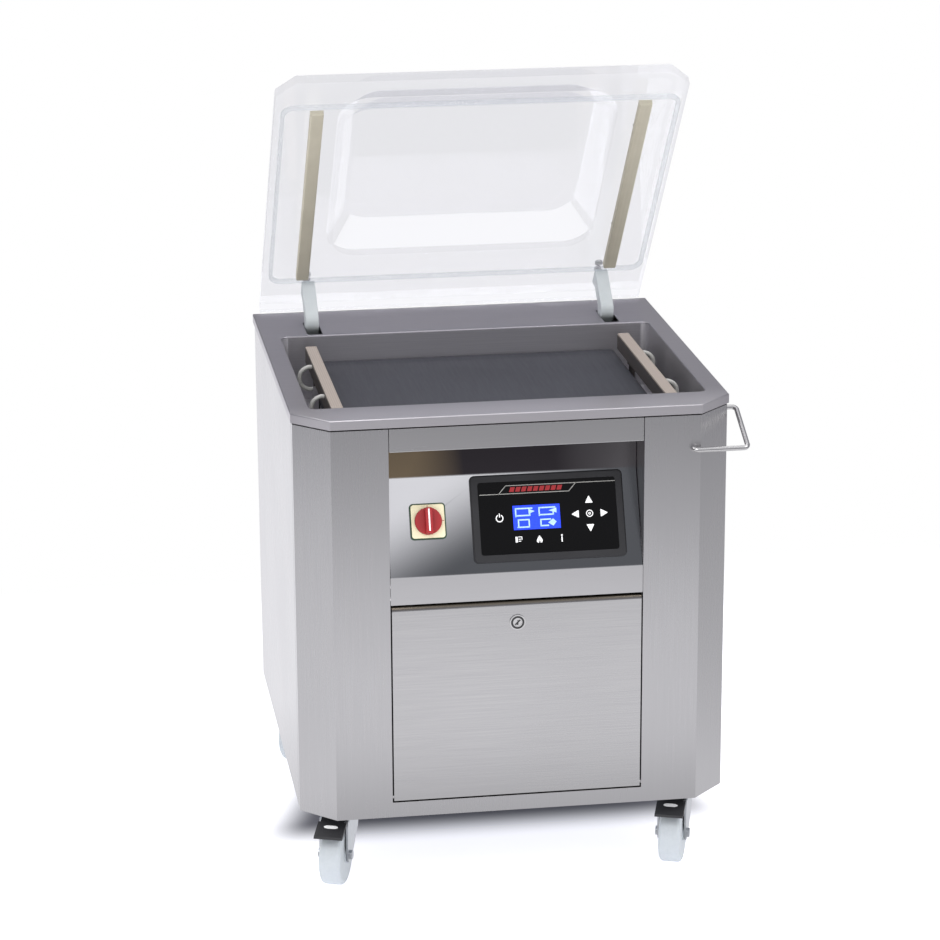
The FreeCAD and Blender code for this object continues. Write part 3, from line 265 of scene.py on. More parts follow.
dress(polyamide, "castor_wheel_front_left", "castor_wheel_front_right", "castor_wheel_rear_left",
      "castor_wheel_rear_right")


def moulded(name, light, dark, rough, grain, ior=1.52, shine=0.5):
    """A moulded plastic with an even spark-eroded grain of so many millimetres."""
    material, tree = blank(name)
    place = put(tree, "TexCoord")
    grains = put(tree, "TexNoise", {"Vector": place.outputs["Object"], "Scale": metres(grain), "Detail": 2.0})
    cloud = put(tree, "TexNoise", {"Vector": place.outputs["Object"], "Scale": metres(60), "Detail": 2.0})
    colour = put(tree, "Mix", {0: cloud.outputs["Fac"], 6: tone(light), 7: tone(dark)}, data_type="RGBA")
    dull = put(tree, "MapRange", {"Value": cloud.outputs["Fac"], "To Min": rough - 0.06,
                                  "To Max": rough + 0.06})
    bump = put(tree, "Bump", {"Height": grains.outputs["Fac"], "Strength": 0.2, "Distance": 0.0001})
    show(tree, put(tree, "BsdfPrincipled", {"Base Color": colour.outputs[2], "Roughness": dull.outputs[0],
                                            "IOR": ior, "Specular IOR Level": shine,
                                            "Normal": bump.outputs[0]}).outputs[0])
    return material


# Glass-filled nylon: near-black, with a coarse grain of about a millimetre that keeps it matt.
black_nylon = moulded("moulded_black_nylon", "#313134", "#262629", 0.45, 1.2)
dress(black_nylon, "brake_pedal_front_left", "brake_pedal_front_right")
ease(0.0012, "brake_pedal_front_left", "brake_pedal_front_right")


def widest_face(node, toward):
    """Centre and normal of a CAD node's largest flat face that looks the way toward points."""
    mesh, found = nodes[node].data, {}
    for p in mesh.polygons:
        if p.normal.dot(Vector(toward).normalized()) > 0.6:
            key = tuple(round(c, 2) for c in p.normal) + (round(p.normal.dot(p.center), 4),)
            entry = found.setdefault(key, [0.0, Vector(), p.normal.copy()])
            entry[0] += p.area
            entry[1] += p.area * p.center
    area, centre, normal = max(found.values(), key=lambda e: e[0])
    return centre / area, normal


def marking(name, outlines, centre, normal, across, material, body, thick=0.00015):
    """Thin printed or inlaid shapes on a flat face; outlines are in millimetres from centre, across and up."""
    across = (Vector(across) - normal * normal.dot(Vector(across))).normalized()
    up = normal.cross(across)
    shape = bmesh.new()
    for outline in outlines:
        rim = [shape.verts.new(centre + across * x / 1000 + up * y / 1000 + normal * thick) for x,
               y in outline]
        face = shape.faces.new(rim)
        face.normal_update()
        if face.normal.dot(normal) < 0:
            face.normal_flip()
    mesh = bpy.data.meshes.new(name)
    shape.to_mesh(mesh)
    shape.free()
    made = piece(name, mesh, material, body)
    body_thick = made.modifiers.new("thickness", "SOLIDIFY")
    body_thick.thickness, body_thick.offset = thick, -1.0
    return made


def ring(radius, width, start=0.0, end=360.0, x=0.0, y=0.0, steps=28):
    """The four-cornered parts of a flat ring or arc, in millimetres and degrees."""
    turn = [math.radians(start + (end - start) * i / steps) for i in range(steps + 1)]
    outer, inner = radius + width / 2, radius - width / 2
    return [[(x + outer * math.cos(a), y + outer * math.sin(a)),
             (x + outer * math.cos(b), y + outer * math.sin(b)),
             (x + inner * math.cos(b), y + inner * math.sin(b)),
             (x + inner * math.cos(a), y + inner * math.sin(a))]
            for a, b in zip(turn, turn[1:])]


def stroke(points, width):
    """The four-cornered parts of a line of so many millimetres through points."""
    parts = []
    for (x0, y0), (x1, y1) in zip(points, points[1:]):
        run = math.hypot(x1 - x0, y1 - y0)
        dx, dy = (x1 - x0) / run * width / 2, (y1 - y0) / run * width / 2
        parts.append([(x0 - dy - dx, y0 + dx - dy), (x0 + dy - dx, y0 - dx - dy),
                      (x1 + dy + dx, y1 - dx + dy), (x1 - dy + dx, y1 + dx + dy)])
    return parts


# Pad-printed white ink: matt, a little uneven where the pad lifted, with a faint painted glow of its own that
# no lamp gives.
white_ink, tree = blank("pad_printed_white_ink")
place = put(tree, "TexCoord")
lift = put(tree, "TexNoise", {"Vector": place.outputs["Object"], "Scale": metres(2.5), "Detail": 2.0})
ink = put(tree, "Mix", {0: lift.outputs["Fac"], 6: tone("#ffffff"), 7: tone("#e6e6e8")}, data_type="RGBA")
show(tree, put(tree, "BsdfPrincipled", {"Base Color": ink.outputs[2], "Roughness": 0.5, "IOR": 1.48,
                                        "Emission Color": tone("#ffffff"),
                                        "Emission Strength": 0.12}).outputs[0])
for side, roll in (("left", (0.939693, -0.34202, 0)), ("right", (0.939693, -0.34202, 0))):
    centre, normal = widest_face("brake_pedal_front_" + side, (0, -0.5, 1))
    badge = [(8.5 * math.cos(math.radians(a)) + (4.5 if math.cos(math.radians(a)) > 0 else -4.5),
              4.0 * math.sin(math.radians(a)))
             for a in range(0, 360, 15)]
    marking("pedal_badge_" + side, [badge], centre, normal, roll, white_ink, "pedal_front_" + side)


# ---------------------------------------------------------------- cabinet sheets
# Folded 2 mm sheets of 1.4301 stainless steel, screwed and spot-welded to the base tray.
# They are dry brushed, so long fine scratches stretch each reflection across the grain.
def brushed(name, light, dark, along, rough, streak=1.8, band=None):
    """Brushed metal with its grain along one axis; a streak is drawn some ten times its real width, to show.

    band is (axis, start, end, colour): painted light, a colour that the sheet takes on in place of its own
    from start to end along the axis.
    """
    material, tree = blank(name)
    place = put(tree, "TexCoord")
    scale = [metres(140) if i == along else metres(streak) for i in range(3)]
    stretched = put(tree, "Mapping", {"Vector": place.outputs["Object"], "Scale": scale})
    streaks = put(tree, "TexNoise", {"Vector": stretched.outputs[0], "Scale": 1.0, "Detail": 4.0,
                                     "Roughness": 0.65})
    wiped = put(tree, "TexNoise", {"Vector": place.outputs["Object"], "Scale": metres(330), "Detail": 2.0})
    contrast = put(tree, "MapRange", {"Value": streaks.outputs["Fac"], "From Min": 0.25, "From Max": 0.75})
    colour = put(tree, "Mix", {0: contrast.outputs[0], 6: tone(light), 7: tone(dark)}, data_type="RGBA")
    if band:
        axis, start, end, painted_tone = band
        apart = put(tree, "SeparateXYZ", {"Vector": place.outputs["Object"]})
        reach = put(tree, "MapRange", {"Value": apart.outputs[axis], "From Min": start, "From Max": end},
                    interpolation_type="SMOOTHSTEP")
        colour = put(tree, "Mix", {0: reach.outputs[0], 6: colour.outputs[2], 7: tone(painted_tone)},
                     data_type="RGBA")
    dull = put(tree, "MapRange", {"Value": contrast.outputs[0], "To Min": rough - 0.02,
                                  "To Max": rough + 0.02})
    cloudy = put(tree, "Math", {0: wiped.outputs["Fac"], 1: 0.08, 2: dull.outputs[0]},
                 operation="MULTIPLY_ADD")
    groove = put(tree, "Bump", {"Height": streaks.outputs["Fac"], "Strength": 0.05, "Distance": 0.0001})
    show(tree, put(tree, "BsdfPrincipled",
                   {"Base Color": colour.outputs[2], "Metallic": 1.0, "Roughness": cloudy.outputs[0],
                                            "Normal": groove.outputs[0]}).outputs[0])
    return material


upright_steel = brushed("brushed_stainless_upright", "#c8c7c8", "#c5c4c5", 2, 0.24)
level_steel = brushed("brushed_stainless_level", "#cbcaca", "#c4c3c4", 0, 0.22)
# The deck is painted lighter towards its front lip: a painted highlight.
deck_steel = brushed("brushed_stainless_deck", "#bcb9bd", "#b4b1b6", 0, 0.30, 1.8,
                     ("Y", -0.27, -0.385, "#dad7da"))
dress(upright_steel, "front_frame", "side_panel_left", "side_panel_right", "back_panel")
ease(0.0012, "front_frame", "side_panel_left", "side_panel_right", "back_panel")

# Galvanised tray and rails: hot-dip zinc with spangle about 12 mm across.
galvanised, tree = blank("galvanised_steel_spangled")
place = put(tree, "TexCoord")
spangle = put(tree, "TexVoronoi", {"Vector": place.outputs["Object"], "Scale": metres(12)})
flake = put(tree, "Mix", {0: spangle.outputs["Color"], 6: tone("#a9adb1"), 7: tone("#cfd3d6")},
            data_type="RGBA")
dull = put(tree, "MapRange", {"Value": spangle.outputs["Distance"], "From Max": 0.012, "To Min": 0.3,
                              "To Max": 0.5})
show(tree, put(tree, "BsdfPrincipled",
               {"Base Color": flake.outputs[2], "Metallic": 1.0, "Roughness": dull.outputs[0]}).outputs[0])
dress(galvanised, "base_tray", "pump_rails", "hinge_brackets")

# ---------------------------------------------------------------- console recess
# A folded stainless box behind the front, with a sloping panel for the controls and a fascia above.
# Its grain runs from side to side.
dress(level_steel, "fascia")
recess_lo, recess_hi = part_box("console")
PANEL_HEAD, PANEL_FOOT = recess_hi.z - 0.067, recess_lo.z + 0.051
console_steel, tree = blank("brushed_stainless_console")
place = put(tree, "TexCoord")
stretched = put(tree, "Mapping", {"Vector": place.outputs["Object"],
                                  "Scale": [metres(140), metres(1.8), metres(1.8)]})
streaks = put(tree, "TexNoise", {"Vector": stretched.outputs[0], "Scale": 1.0, "Detail": 4.0,
                                 "Roughness": 0.65})
high = put(tree, "SeparateXYZ", {"Vector": place.outputs["Object"]})
# The sloping panel is painted from dark grey at its foot to near white at its head: a painted reflection, not
# the steel's own colour.
lean = put(tree, "Math", {0: high.outputs["X"], 1: -0.5, 2: high.outputs["Z"]}, operation="MULTIPLY_ADD")
slope_reflection_mask = put(tree, "MapRange", {"Value": lean.outputs[0], "From Min": PANEL_FOOT + 0.06,
                               "From Max": PANEL_HEAD + 0.06},
            interpolation_type="SMOOTHSTEP")
sheet = put(tree, "Mix", {0: slope_reflection_mask.outputs[0], 6: tone("#66686b"), 7: tone("#fbfbfc")}, data_type="RGBA")
foot_fold = put(tree, "MapRange", {"Value": high.outputs["Z"], "From Min": PANEL_FOOT - 0.001,
                                   "From Max": PANEL_FOOT + 0.001})
front_sheet = put(tree, "Mix", {0: foot_fold.outputs[0], 6: tone("#c6c5c6"), 7: sheet.outputs[2]},
                  data_type="RGBA")
# Above the panel's head the recess wall is painted dark as painted shade, with a warm tan blotch to the left
# and a paler patch to the right as painted reflections.
reflection_blotch_noise = put(tree, "TexNoise", {"Vector": place.outputs["Object"], "Scale": metres(140), "Detail": 1.0})
wander = put(tree, "Math", {0: reflection_blotch_noise.outputs["Fac"], 1: 0.1, 2: high.outputs["X"]}, operation="MULTIPLY_ADD")
tan_reflection_mask = put(tree, "MapRange", {"Value": wander.outputs[0], "From Min": -0.04, "From Max": -0.13})
pale = put(tree, "MapRange", {"Value": wander.outputs[0], "From Min": 0.12, "From Max": 0.24})
dark = put(tree, "Mix", {0: tan_reflection_mask.outputs[0], 6: tone("#3f3b3f"), 7: tone("#8a7a64")}, data_type="RGBA")
dark = put(tree, "Mix", {0: pale.outputs[0], 6: dark.outputs[2], 7: tone("#6c696b")}, data_type="RGBA")
head = put(tree, "MapRange", {"Value": high.outputs["Z"], "From Min": PANEL_HEAD - 0.001,
                              "From Max": PANEL_HEAD + 0.002})
whole = put(tree, "Mix", {0: head.outputs[0], 6: front_sheet.outputs[2], 7: dark.outputs[2]},
            data_type="RGBA")
dull = put(tree, "MapRange", {"Value": streaks.outputs["Fac"], "To Min": 0.16, "To Max": 0.24})
groove = put(tree, "Bump", {"Height": streaks.outputs["Fac"], "Strength": 0.1, "Distance": 0.0001})
show(tree, put(tree, "BsdfPrincipled",
               {"Base Color": whole.outputs[2], "Metallic": 1.0, "Roughness": dull.outputs[0],
                                        "Normal": groove.outputs[0]}).outputs[0])
dress(console_steel, "console")
ease(0.0012, "console", "fascia")

# ---------------------------------------------------------------- service door
# A drop-down door of brushed stainless sheet with a rolled top edge, on two pins near its foot.
# The grain runs from side to side, and its folded edges are eased by the press.
door_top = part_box("service_door")[1].z
# Near its top edge the sheet is painted a dark warm brown: a painted reflection of the dark strip above the
# door.
door_steel = brushed("brushed_stainless_door", "#cbcaca", "#c4c3c4", 0, 0.22, 1.8,
                     ("Z", door_top - 0.010, door_top - 0.004, "#6f685e"))
dress(door_steel, "service_door")
ease(0.0015, "service_door")

# Bright-turned steel for pins, shafts and the lock: smooth, with fine rings from the lathe.
bright_steel, tree = blank("bright_turned_steel")
place = put(tree, "TexCoord")
turned = put(tree, "TexNoise", {"Vector": place.outputs["Object"], "Scale": metres(1.5), "Detail": 3.0})
tint = put(tree, "Mix", {0: turned.outputs["Fac"], 6: tone("#c9c8c8"), 7: tone("#dedddc")}, data_type="RGBA")
dull = put(tree, "MapRange", {"Value": turned.outputs["Fac"], "To Min": 0.12, "To Max": 0.26})
show(tree, put(tree, "BsdfPrincipled",
               {"Base Color": tint.outputs[2], "Metallic": 1.0, "Roughness": dull.outputs[0]}).outputs[0])
dress(bright_steel, "door_pins", "lock_housing", "lock_cam", "hinge_shaft", "spring_studs", "lid_screws",
      "hanger_rod",
      "gas_spring_rod_left", "gas_spring_rod_right")

# The lock has a bright core in its collar; the dark ring round the core is a painted shadow of the gap between
# them, and the key slot is a flat mark in the same painted shade.
cam_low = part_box("lock_cam")[0]
collar_low, collar_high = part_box("lock_housing")
lock_x, lock_z = (collar_low.x + collar_high.x) / 2, (collar_low.z + collar_high.z) / 2
painted_shade_fill = moulded("lock_painted_shadow", "#3a3a3c", "#29292b", 0.4, 2.0)
marking("lock_painted_shadow_ring", ring(10.2, 3.6), Vector((lock_x, collar_low.y, lock_z)), Vector((0, -1, 0)), (1, 0, 0),
        painted_shade_fill, "door")
marking("lock_key_slot", stroke([(-3.4, -3.4), (3.4, 3.4)], 2.8), Vector((lock_x, cam_low.y, lock_z)),
        Vector((0, -1, 0)), (1, 0, 0),
        painted_shade_fill, "lock")

# ---------------------------------------------------------------- deck and chamber
# The deck is one pressed 3 mm sheet with its lip folded down, and the chamber is welded under its mouth.
# Both are brushed, and handling has left faint cloudy marks on them.
chamber_steel = brushed("brushed_stainless_chamber", "#dcdadd", "#d0ced2", 0, 0.42)
dress(deck_steel, "deck")
ease(0.0025, "deck")
dress(chamber_steel, "chamber_well")
ease(0.0015, "chamber_well")

# Filler plates of high-density polyethylene: dark slate, milled, with a slight sheen and knife marks.
slate_plate, tree = blank("milled_polyethylene_slate")
place = put(tree, "TexCoord")
stretched = put(tree, "Mapping", {"Vector": place.outputs["Object"],
                                  "Scale": [metres(5), metres(90), metres(5)]})
cuts = put(tree, "TexNoise", {"Vector": stretched.outputs[0], "Scale": 1.0, "Detail": 5.0, "Roughness": 0.7})
cloud = put(tree, "TexNoise", {"Vector": place.outputs["Object"], "Scale": metres(160), "Detail": 3.0})
slate = put(tree, "Mix", {0: cloud.outputs["Fac"], 6: tone("#2a2b33"), 7: tone("#34363f")}, data_type="RGBA")
dull = put(tree, "MapRange", {"Value": cuts.outputs["Fac"], "To Min": 0.42, "To Max": 0.6})
groove = put(tree, "Bump", {"Height": cuts.outputs["Fac"], "Strength": 0.08, "Distance": 0.0002})
show(tree, put(tree, "BsdfPrincipled",
               {"Base Color": slate.outputs[2], "Roughness": dull.outputs[0], "IOR": 1.54,
                                        "Normal": groove.outputs[0]}).outputs[0])
dress(slate_plate, "filler_plates")
ease(0.002, "filler_plates")

# ---------------------------------------------------------------- sealing bars
# Aluminium bars on lift pins, each with a heating band under a glued strip of PTFE-coated glass cloth.
# The cloth is beige, with a fine weave and a dull sheen.
mill_alloy = brushed("extruded_aluminium_bar", "#8f8884", "#6f6966", 1, 0.42, 2.0)
dress(mill_alloy, "seal_bar_left", "seal_bar_right")
ptfe_cloth, tree = blank("ptfe_glass_cloth")
place = put(tree, "TexCoord")
weft = put(tree, "TexWave", {"Vector": place.outputs["Object"], "Scale": metres(2) / 6.2832,
                             "Distortion": 0.3},
           bands_direction="X", wave_type="BANDS")
warp = put(tree, "TexWave", {"Vector": place.outputs["Object"], "Scale": metres(2) / 6.2832,
                             "Distortion": 0.3},
           bands_direction="Y", wave_type="BANDS")
weave = put(tree, "Math", {0: weft.outputs["Fac"], 1: warp.outputs["Fac"]}, operation="MULTIPLY")
cloth = put(tree, "Mix", {0: weave.outputs[0], 6: tone("#9b9088"), 7: tone("#b6aaa1")}, data_type="RGBA")
bump = put(tree, "Bump", {"Height": weave.outputs[0], "Strength": 0.3, "Distance": 0.0002})
show(tree, put(tree, "BsdfPrincipled", {"Base Color": cloth.outputs[2], "Roughness": 0.5, "IOR": 1.38,
                                        "Normal": bump.outputs[0]}).outputs[0])
dress(ptfe_cloth, "seal_band_left", "seal_band_right")

# Two silicone-covered leads to each bar, bent out and back under it so that they flex as it lifts.
# The cover is pale grey and slightly glossy.
LEAD_RADIUS = 0.004
lead_cover = moulded("silicone_lead_cover", "#c9c9c6", "#b9b8b4", 0.38, 3.0, 1.43)
for side, sign in (("left", -1), ("right", 1)):
    lo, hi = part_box("leads_" + side)
    reach = lo.x + LEAD_RADIUS if sign < 0 else hi.x - LEAD_RADIUS
    bar = hi.x if sign < 0 else lo.x
    run = bpy.data.curves.new("lead_path", "CURVE")
    run.dimensions, run.bevel_depth, run.bevel_resolution, run.resolution_u = "3D", LEAD_RADIUS, 4, 16
    run.use_fill_caps = True
    for y in (lo.y + LEAD_RADIUS, hi.y - LEAD_RADIUS):
        top, foot = hi.z - LEAD_RADIUS, lo.z + LEAD_RADIUS
        middle, half = (top + foot) / 2, (top - foot) / 2
        bend = bar + sign * (abs(reach - bar) - half)
        route = [(bar, y, top), ((bar + bend) / 2, y, top)]
        route += [(bend + sign * half * 1.04 * math.cos(math.radians(a)), y,
                   middle + half * 1.04 * math.sin(math.radians(a)))
                  for a in (80, 50, 20, -20, -50, -80)]
        route += [((bar + bend) / 2, y, foot), (bar, y, foot)]
        line = run.splines.new("NURBS")
        line.points.add(len(route) - 1)
        for point, spot in zip(line.points, route):
            point.co = (*spot, 1.0)
        line.order_u, line.use_endpoint_u = 3, True
    holder = bpy.data.objects.new("lead_holder", run)
    bpy.context.scene.collection.objects.link(holder)
    bpy.context.view_layer.update()
    mesh = bpy.data.meshes.new_from_object(holder.evaluated_get(bpy.context.evaluated_depsgraph_get()))
    bpy.data.objects.remove(holder)
    for p in mesh.polygons:
        p.use_smooth = True
    mesh.materials.clear()
    leads = piece("lead_pair_" + side, mesh, lead_cover, None)
    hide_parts("leads_" + side)
    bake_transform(leads)

# ---------------------------------------------------------------- lid
# A 20 mm thick clear acrylic lid with a dome blown into it, drilled for its arms and counter bars.
# It lets nearly all light through, and its cut edges and bends look grey.
clear_acrylic, tree = blank("cast_acrylic_clear")
place = put(tree, "TexCoord")
haze = put(tree, "TexNoise", {"Vector": place.outputs["Object"], "Scale": metres(25), "Detail": 3.0})
polish = put(tree, "MapRange", {"Value": haze.outputs["Fac"], "To Min": 0.0, "To Max": 0.05})
solid = put(tree, "BsdfPrincipled", {"Base Color": tone("#fafbfd"), "Roughness": polish.outputs[0],
                                     "IOR": 1.49,
                                     "Transmission Weight": 1.0})
ray = put(tree, "LightPath")
through = put(tree, "BsdfTransparent", {"Color": tone("#fcfcfe")})
straight = put(tree, "Math", {0: ray.outputs["Is Shadow Ray"], 1: 0.80}, operation="MAXIMUM")
show(tree, put(tree, "MixShader",
               {0: straight.outputs[0], 1: solid.outputs[0], 2: through.outputs[0]}).outputs[0])
dress(clear_acrylic, "lid")

# The gasket is an extruded silicone cord pressed into the lid's groove: milky and soft.
clear_silicone, tree = blank("extruded_silicone_milky")
place = put(tree, "TexCoord")
cloud = put(tree, "TexNoise", {"Vector": place.outputs["Object"], "Scale": metres(12), "Detail": 3.0})
milky = put(tree, "Mix", {0: cloud.outputs["Fac"], 6: tone("#dfe1e3"), 7: tone("#eceef0")}, data_type="RGBA")
cord = put(tree, "BsdfPrincipled", {"Base Color": milky.outputs[2], "Roughness": 0.42, "IOR": 1.41,
                                    "Transmission Weight": 0.5})
through = put(tree, "BsdfTransparent", {"Color": tone("#f6f7f8")})
show(tree, put(tree, "MixShader", {0: 0.8, 1: cord.outputs[0], 2: through.outputs[0]}).outputs[0])
dress(clear_silicone, "lid_gasket")

# Counter bars: khaki silicone rubber, extruded, with a finely ribbed face that grips the bag.
khaki_silicone, tree = blank("extruded_silicone_khaki")
place = put(tree, "TexCoord")
ribs = put(tree, "TexWave", {"Vector": place.outputs["Object"], "Scale": metres(4) / 6.2832},
           bands_direction="X")
cloud = put(tree, "TexNoise", {"Vector": place.outputs["Object"], "Scale": metres(40), "Detail": 3.0})
khaki = put(tree, "Mix", {0: cloud.outputs["Fac"], 6: tone("#bdb7a6"), 7: tone("#aea897")}, data_type="RGBA")
bump = put(tree, "Bump", {"Height": ribs.outputs["Fac"], "Strength": 0.25, "Distance": 0.0003})
show(tree, put(tree, "BsdfPrincipled", {"Base Color": khaki.outputs[2], "Roughness": 0.55, "IOR": 1.41,
                                        "Normal": bump.outputs[0]}).outputs[0])
dress(khaki_silicone, "counter_bars")
ease(0.001, "counter_bars")

# ---------------------------------------------------------------- hinge
# Two cast aluminium arms, powder-coated pale grey and screwed to the lid, turn on one shaft.
# The coat is a fine orange-peel.
powder_grey, tree = blank("powder_coat_pale_grey")
place = put(tree, "TexCoord")
peel = put(tree, "TexNoise", {"Vector": place.outputs["Object"], "Scale": metres(2.2), "Detail": 2.0})
cloud = put(tree, "TexNoise", {"Vector": place.outputs["Object"], "Scale": metres(50), "Detail": 2.0})
coat = put(tree, "Mix", {0: cloud.outputs["Fac"], 6: tone("#bac0c3"), 7: tone("#c6cbcd")}, data_type="RGBA")
bump = put(tree, "Bump", {"Height": peel.outputs["Fac"], "Strength": 0.12, "Distance": 0.0003})
show(tree, put(tree, "BsdfPrincipled", {"Base Color": coat.outputs[2], "Roughness": 0.38, "IOR": 1.5,
                                        "Normal": bump.outputs[0]}).outputs[0])
dress(powder_grey, "hinge_arms", "lift_cylinders")
ease(0.002, "hinge_arms")

# Gas-spring tubes: black stoved enamel, smooth and glossy.
black_enamel = moulded("stoved_black_enamel", "#1f1f21", "#161618", 0.22, 6.0)
dress(black_enamel, "gas_spring_tube_left", "gas_spring_tube_right")

# ---------------------------------------------------------------- display
# A moulded grey ABS bezel holds a black printed polyester foil with a blue liquid-crystal window.
# Arrow keys, a round key and small symbols are printed on the foil, and a hairline runs along its head.
grey_abs = moulded("moulded_grey_abs", "#333336", "#2a2a2c", 0.5, 1.0, 1.53, 0.3)
dress(grey_abs, "display_bezel")
ease(0.0015, "display_bezel")
black_foil = moulded("screen_printed_black_polyester", "#050506", "#08080a", 0.28, 2.0, 1.6, 0.12)
dress(black_foil, "keypad_foil")

KEY_LEFT, KEY_RIGHT, KEY_ROW, KEY_COLUMN = 45.7, 97.3, 1.0, 71.4
foil_centre, foil_normal = widest_face("keypad_foil", (0, -1, 0.4))
keys = []
for x, y, turn in ((KEY_COLUMN, 26.0, 90), (KEY_COLUMN, -24.5, 270), (KEY_LEFT, KEY_ROW, 180),
                   (KEY_RIGHT, KEY_ROW, 0)):
    a = math.radians(turn)
    keys.append([(x + px * math.cos(a) - py * math.sin(a), y + px * math.sin(a) + py * math.cos(a))
                 for px, py in ((6.2, 0), (5.6, 0.9), (-5.4, 6.6), (-6.2, 6.2), (-6.2, -6.2), (-5.4, -6.6),
                                (5.6, -0.9))])
keys += ring(5.6, 1.6, x=KEY_COLUMN, y=KEY_ROW) + ring(1.7, 1.4, x=KEY_COLUMN, y=KEY_ROW, steps=12)
keys += ring(6.0, 1.9, 115, 425, x=-90) + stroke([(-90, 2.4), (-90, 8.0)], 1.7)
keys += [[(-64, -44), (-60, -44), (-60, -34), (-64, -34)]] + stroke([(-58, -34.5), (-52.5, -34.5),
                                                                          (-52.5, -39)], 1.4)
keys += stroke([(-58, -38.5), (-54.8, -38.5)], 1.4) + stroke([(-58, -42), (-54.8, -42)], 1.4)
flame = [(-21, -33.4), (-17.6, -38), (-15.6, -42.2), (-16.6, -45.6), (-19.2, -46.6), (-20.2, -43.6),
         (-21, -41.6),
         (-21.8, -43.6), (-22.8, -46.6), (-25.4, -45.6), (-26.4, -42.2), (-24.4, -38)]
keys += [flame] + stroke([(19, -38.6), (19, -45.6)], 2.2) + ring(0.9, 1.5, x=19, y=-35.0, steps=10)
marking("foil_symbols", keys, foil_centre, foil_normal, (1, 0, 0), white_ink, "cabinet")

# Silver hairline: screen-printed ink with fine metal flakes.
silver_ink, tree = blank("screen_printed_silver_ink")
place = put(tree, "TexCoord")
flakes = put(tree, "TexNoise", {"Vector": place.outputs["Object"], "Scale": metres(1.5)})
ink = put(tree, "Mix", {0: flakes.outputs["Fac"], 6: tone("#9b9a96"), 7: tone("#c4c3be")}, data_type="RGBA")
show(tree, put(tree, "BsdfPrincipled",
               {"Base Color": ink.outputs[2], "Roughness": 0.5, "Metallic": 0.4}).outputs[0])
HAIR_LOW, HAIR_HIGH = 42.6, 57.0
hairline = stroke([(-122.5, HAIR_LOW), (36.6, HAIR_LOW), (50, HAIR_HIGH), (122.5, HAIR_HIGH)], 1.3)
hairline += stroke([(-89, HAIR_LOW), (-75.6, HAIR_HIGH), (50, HAIR_HIGH)], 1.3)
marking("foil_hairline", hairline, foil_centre, foil_normal, (1, 0, 0), silver_ink, "cabinet")

# Red dashes stand in the head of the foil: opaque screen-printed red.
red_ink, tree = blank("screen_printed_red_ink")
place = put(tree, "TexCoord")
lift = put(tree, "TexNoise", {"Vector": place.outputs["Object"], "Scale": metres(2.5), "Detail": 2.0})
ink = put(tree, "Mix", {0: lift.outputs["Fac"], 6: tone("#b3262c"), 7: tone("#8e1d24")}, data_type="RGBA")
show(tree, put(tree, "BsdfPrincipled",
               {"Base Color": ink.outputs[2], "Roughness": 0.5, "IOR": 1.48}).outputs[0])
dashes = [[(x, 45.8), (x + 8.2, 45.8), (x + 11.0, 54.2),
           (x + 2.8, 54.2)] for x in [-70 + 10.6 * i for i in range(9)]]
marking("foil_dashes", dashes, foil_centre, foil_normal, (1, 0, 0), red_ink, "cabinet")

# Liquid-crystal window: a backlit blue field under glossy polyester, drawn with its cell pitch of 1.2 mm.
blue_cell, tree = blank("liquid_crystal_blue_backlit")
place = put(tree, "TexCoord")
columns = put(tree, "TexWave", {"Vector": place.outputs["Object"], "Scale": metres(1.2) / 6.2832},
              bands_direction="X")
rows = put(tree, "TexWave", {"Vector": place.outputs["Object"], "Scale": metres(1.2) / 6.2832},
           bands_direction="Z")
cells = put(tree, "Math", {0: columns.outputs["Fac"], 1: rows.outputs["Fac"]}, operation="MULTIPLY")
field = put(tree, "Mix", {0: cells.outputs[0], 6: tone("#1034e2"), 7: tone("#2148ff")}, data_type="RGBA")
show(tree, put(tree, "BsdfPrincipled", {"Base Color": field.outputs[2], "Roughness": 0.2, "IOR": 1.6,
                                        "Emission Color": field.outputs[2],
                                        "Emission Strength": 0.75}).outputs[0])
dress(blue_cell, "lcd_window")
lit_segment, tree = blank("liquid_crystal_lit_segment")
place = put(tree, "TexCoord")
patch = put(tree, "TexNoise", {"Vector": place.outputs["Object"], "Scale": metres(4)})
lit = put(tree, "Mix", {0: patch.outputs["Fac"], 6: tone("#7fa6ff"), 7: tone("#b4ccff")}, data_type="RGBA")
show(tree, put(tree, "BsdfPrincipled", {"Base Color": lit.outputs[2], "Roughness": 0.2, "IOR": 1.6,
                                        "Emission Color": lit.outputs[2],
                                        "Emission Strength": 0.7}).outputs[0])
lcd_centre, lcd_normal = widest_face("lcd_window", (0, -1, 0.4))
signs = stroke([(-37, 2.5), (-37, 16), (-8, 16)], 2.4) + stroke([(-37, 3.5), (-12, 3.5), (-12, 8)], 2.4)
signs += [[(-14, 6), (-3, 10.5), (-14, 15)]]
signs += stroke([(5, 2.5), (5, 16), (33, 16)], 2.4) + stroke([(5, 3.5), (30, 3.5), (30, 7)], 2.4)
signs += [[(36, 15), (22, 10.5), (36, 6)]]
signs += stroke([(-33, -17), (-33, -4), (-14, -4), (-14, -17), (-34, -17)], 2.4)
signs += stroke([(7, -16), (7, -5), (24, -5)], 2.4) + stroke([(7, -16), (20, -16)], 2.4)
signs += [[(20, -11), (29, -4), (35, -10), (29, -17)]]
marking("lcd_signs", signs, lcd_centre, lcd_normal, (1, 0, 0), lit_segment, "cabinet", 0.0001)

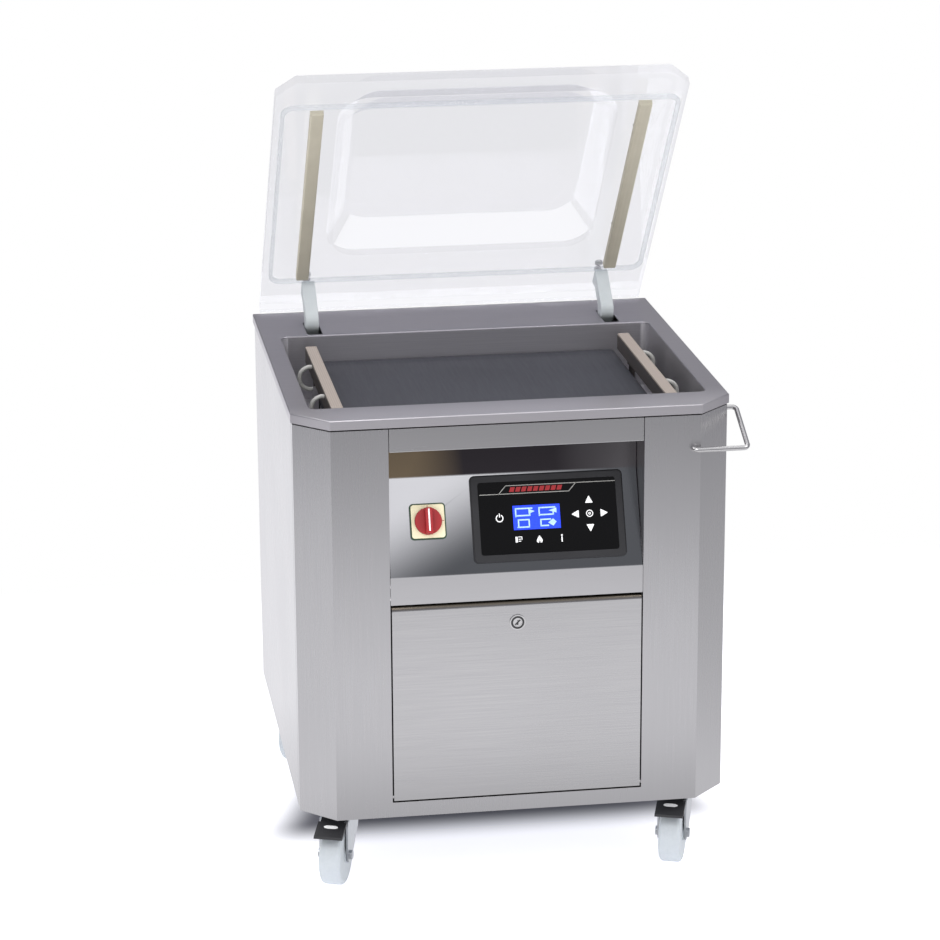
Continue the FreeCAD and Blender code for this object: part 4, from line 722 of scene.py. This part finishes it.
# ---------------------------------------------------------------- main switch
# A rotary switch: cream printed plate on a green moulded body, and a red knob with a white pointer.
# The knob is moulded ABS with a satin face.
cream_plate = moulded("moulded_cream_abs", "#f6efcf", "#efe6be", 0.4, 2.0)
green_body = moulded("moulded_dark_green_nylon", "#33503a", "#29442f", 0.45, 1.5)
red_knob = moulded("moulded_red_abs", "#b02a2e", "#99242a", 0.36, 1.5)
dress(cream_plate, "switch_plate")
dress(green_body, "switch_body")
dress(red_knob, "switch_knob")
ease(0.0008, "switch_plate", "switch_body")
plate_centre, plate_normal = widest_face("switch_plate", (0, -1, 0.4))
ticks = [t for a in (0,
                     90) for t in stroke([(26.0 * math.sin(math.radians(a)),
                                           26.0 * math.cos(math.radians(a))),
                                             (28.0 * math.sin(math.radians(a)),
                                              28.0 * math.cos(math.radians(a)))], 1.2)]
marking("switch_ticks", ticks, plate_centre, plate_normal, (1, 0, 0), red_ink, "cabinet")
grip = max(plate_normal.dot(v.co) for v in nodes["switch_knob"].data.vertices) - plate_normal.dot(plate_centre)
marking("knob_pointer", stroke([(0, -17.5), (0, 19)], 2.6), plate_centre + plate_normal * grip, plate_normal,
        (1, 0, 0),
        white_ink, "switch")

# ---------------------------------------------------------------- machinery
# The oil pump, its motor and filter, the valve, transformer and control box stand on the tray behind the door.
# Castings are painted, the box is moulded, and the hose is rubber.
pump_enamel = moulded("painted_casting_blue_grey", "#7f8a93", "#717b84", 0.45, 2.5)
dress(pump_enamel, "vacuum_pump")
motor_enamel = moulded("painted_casting_grey", "#6a6d70", "#5c5f62", 0.5, 2.5)
dress(motor_enamel, "pump_motor")
dress(black_nylon, "exhaust_filter", "mains_gland")
rubber = moulded("extruded_nitrile_rubber", "#1c1c1d", "#232324", 0.6, 2.0)
dress(rubber, "vacuum_hose")
brass = brushed("machined_brass", "#d9b870", "#c7a45c", 0, 0.3, 2.0)
dress(brass, "valve_block")
lacquer = moulded("lacquered_winding", "#7a5a34", "#5e4326", 0.3, 1.5)
dress(lacquer, "transformer")
box_abs = moulded("moulded_light_grey_abs", "#8f9194", "#85878a", 0.5, 1.5)
dress(box_abs, "control_box")
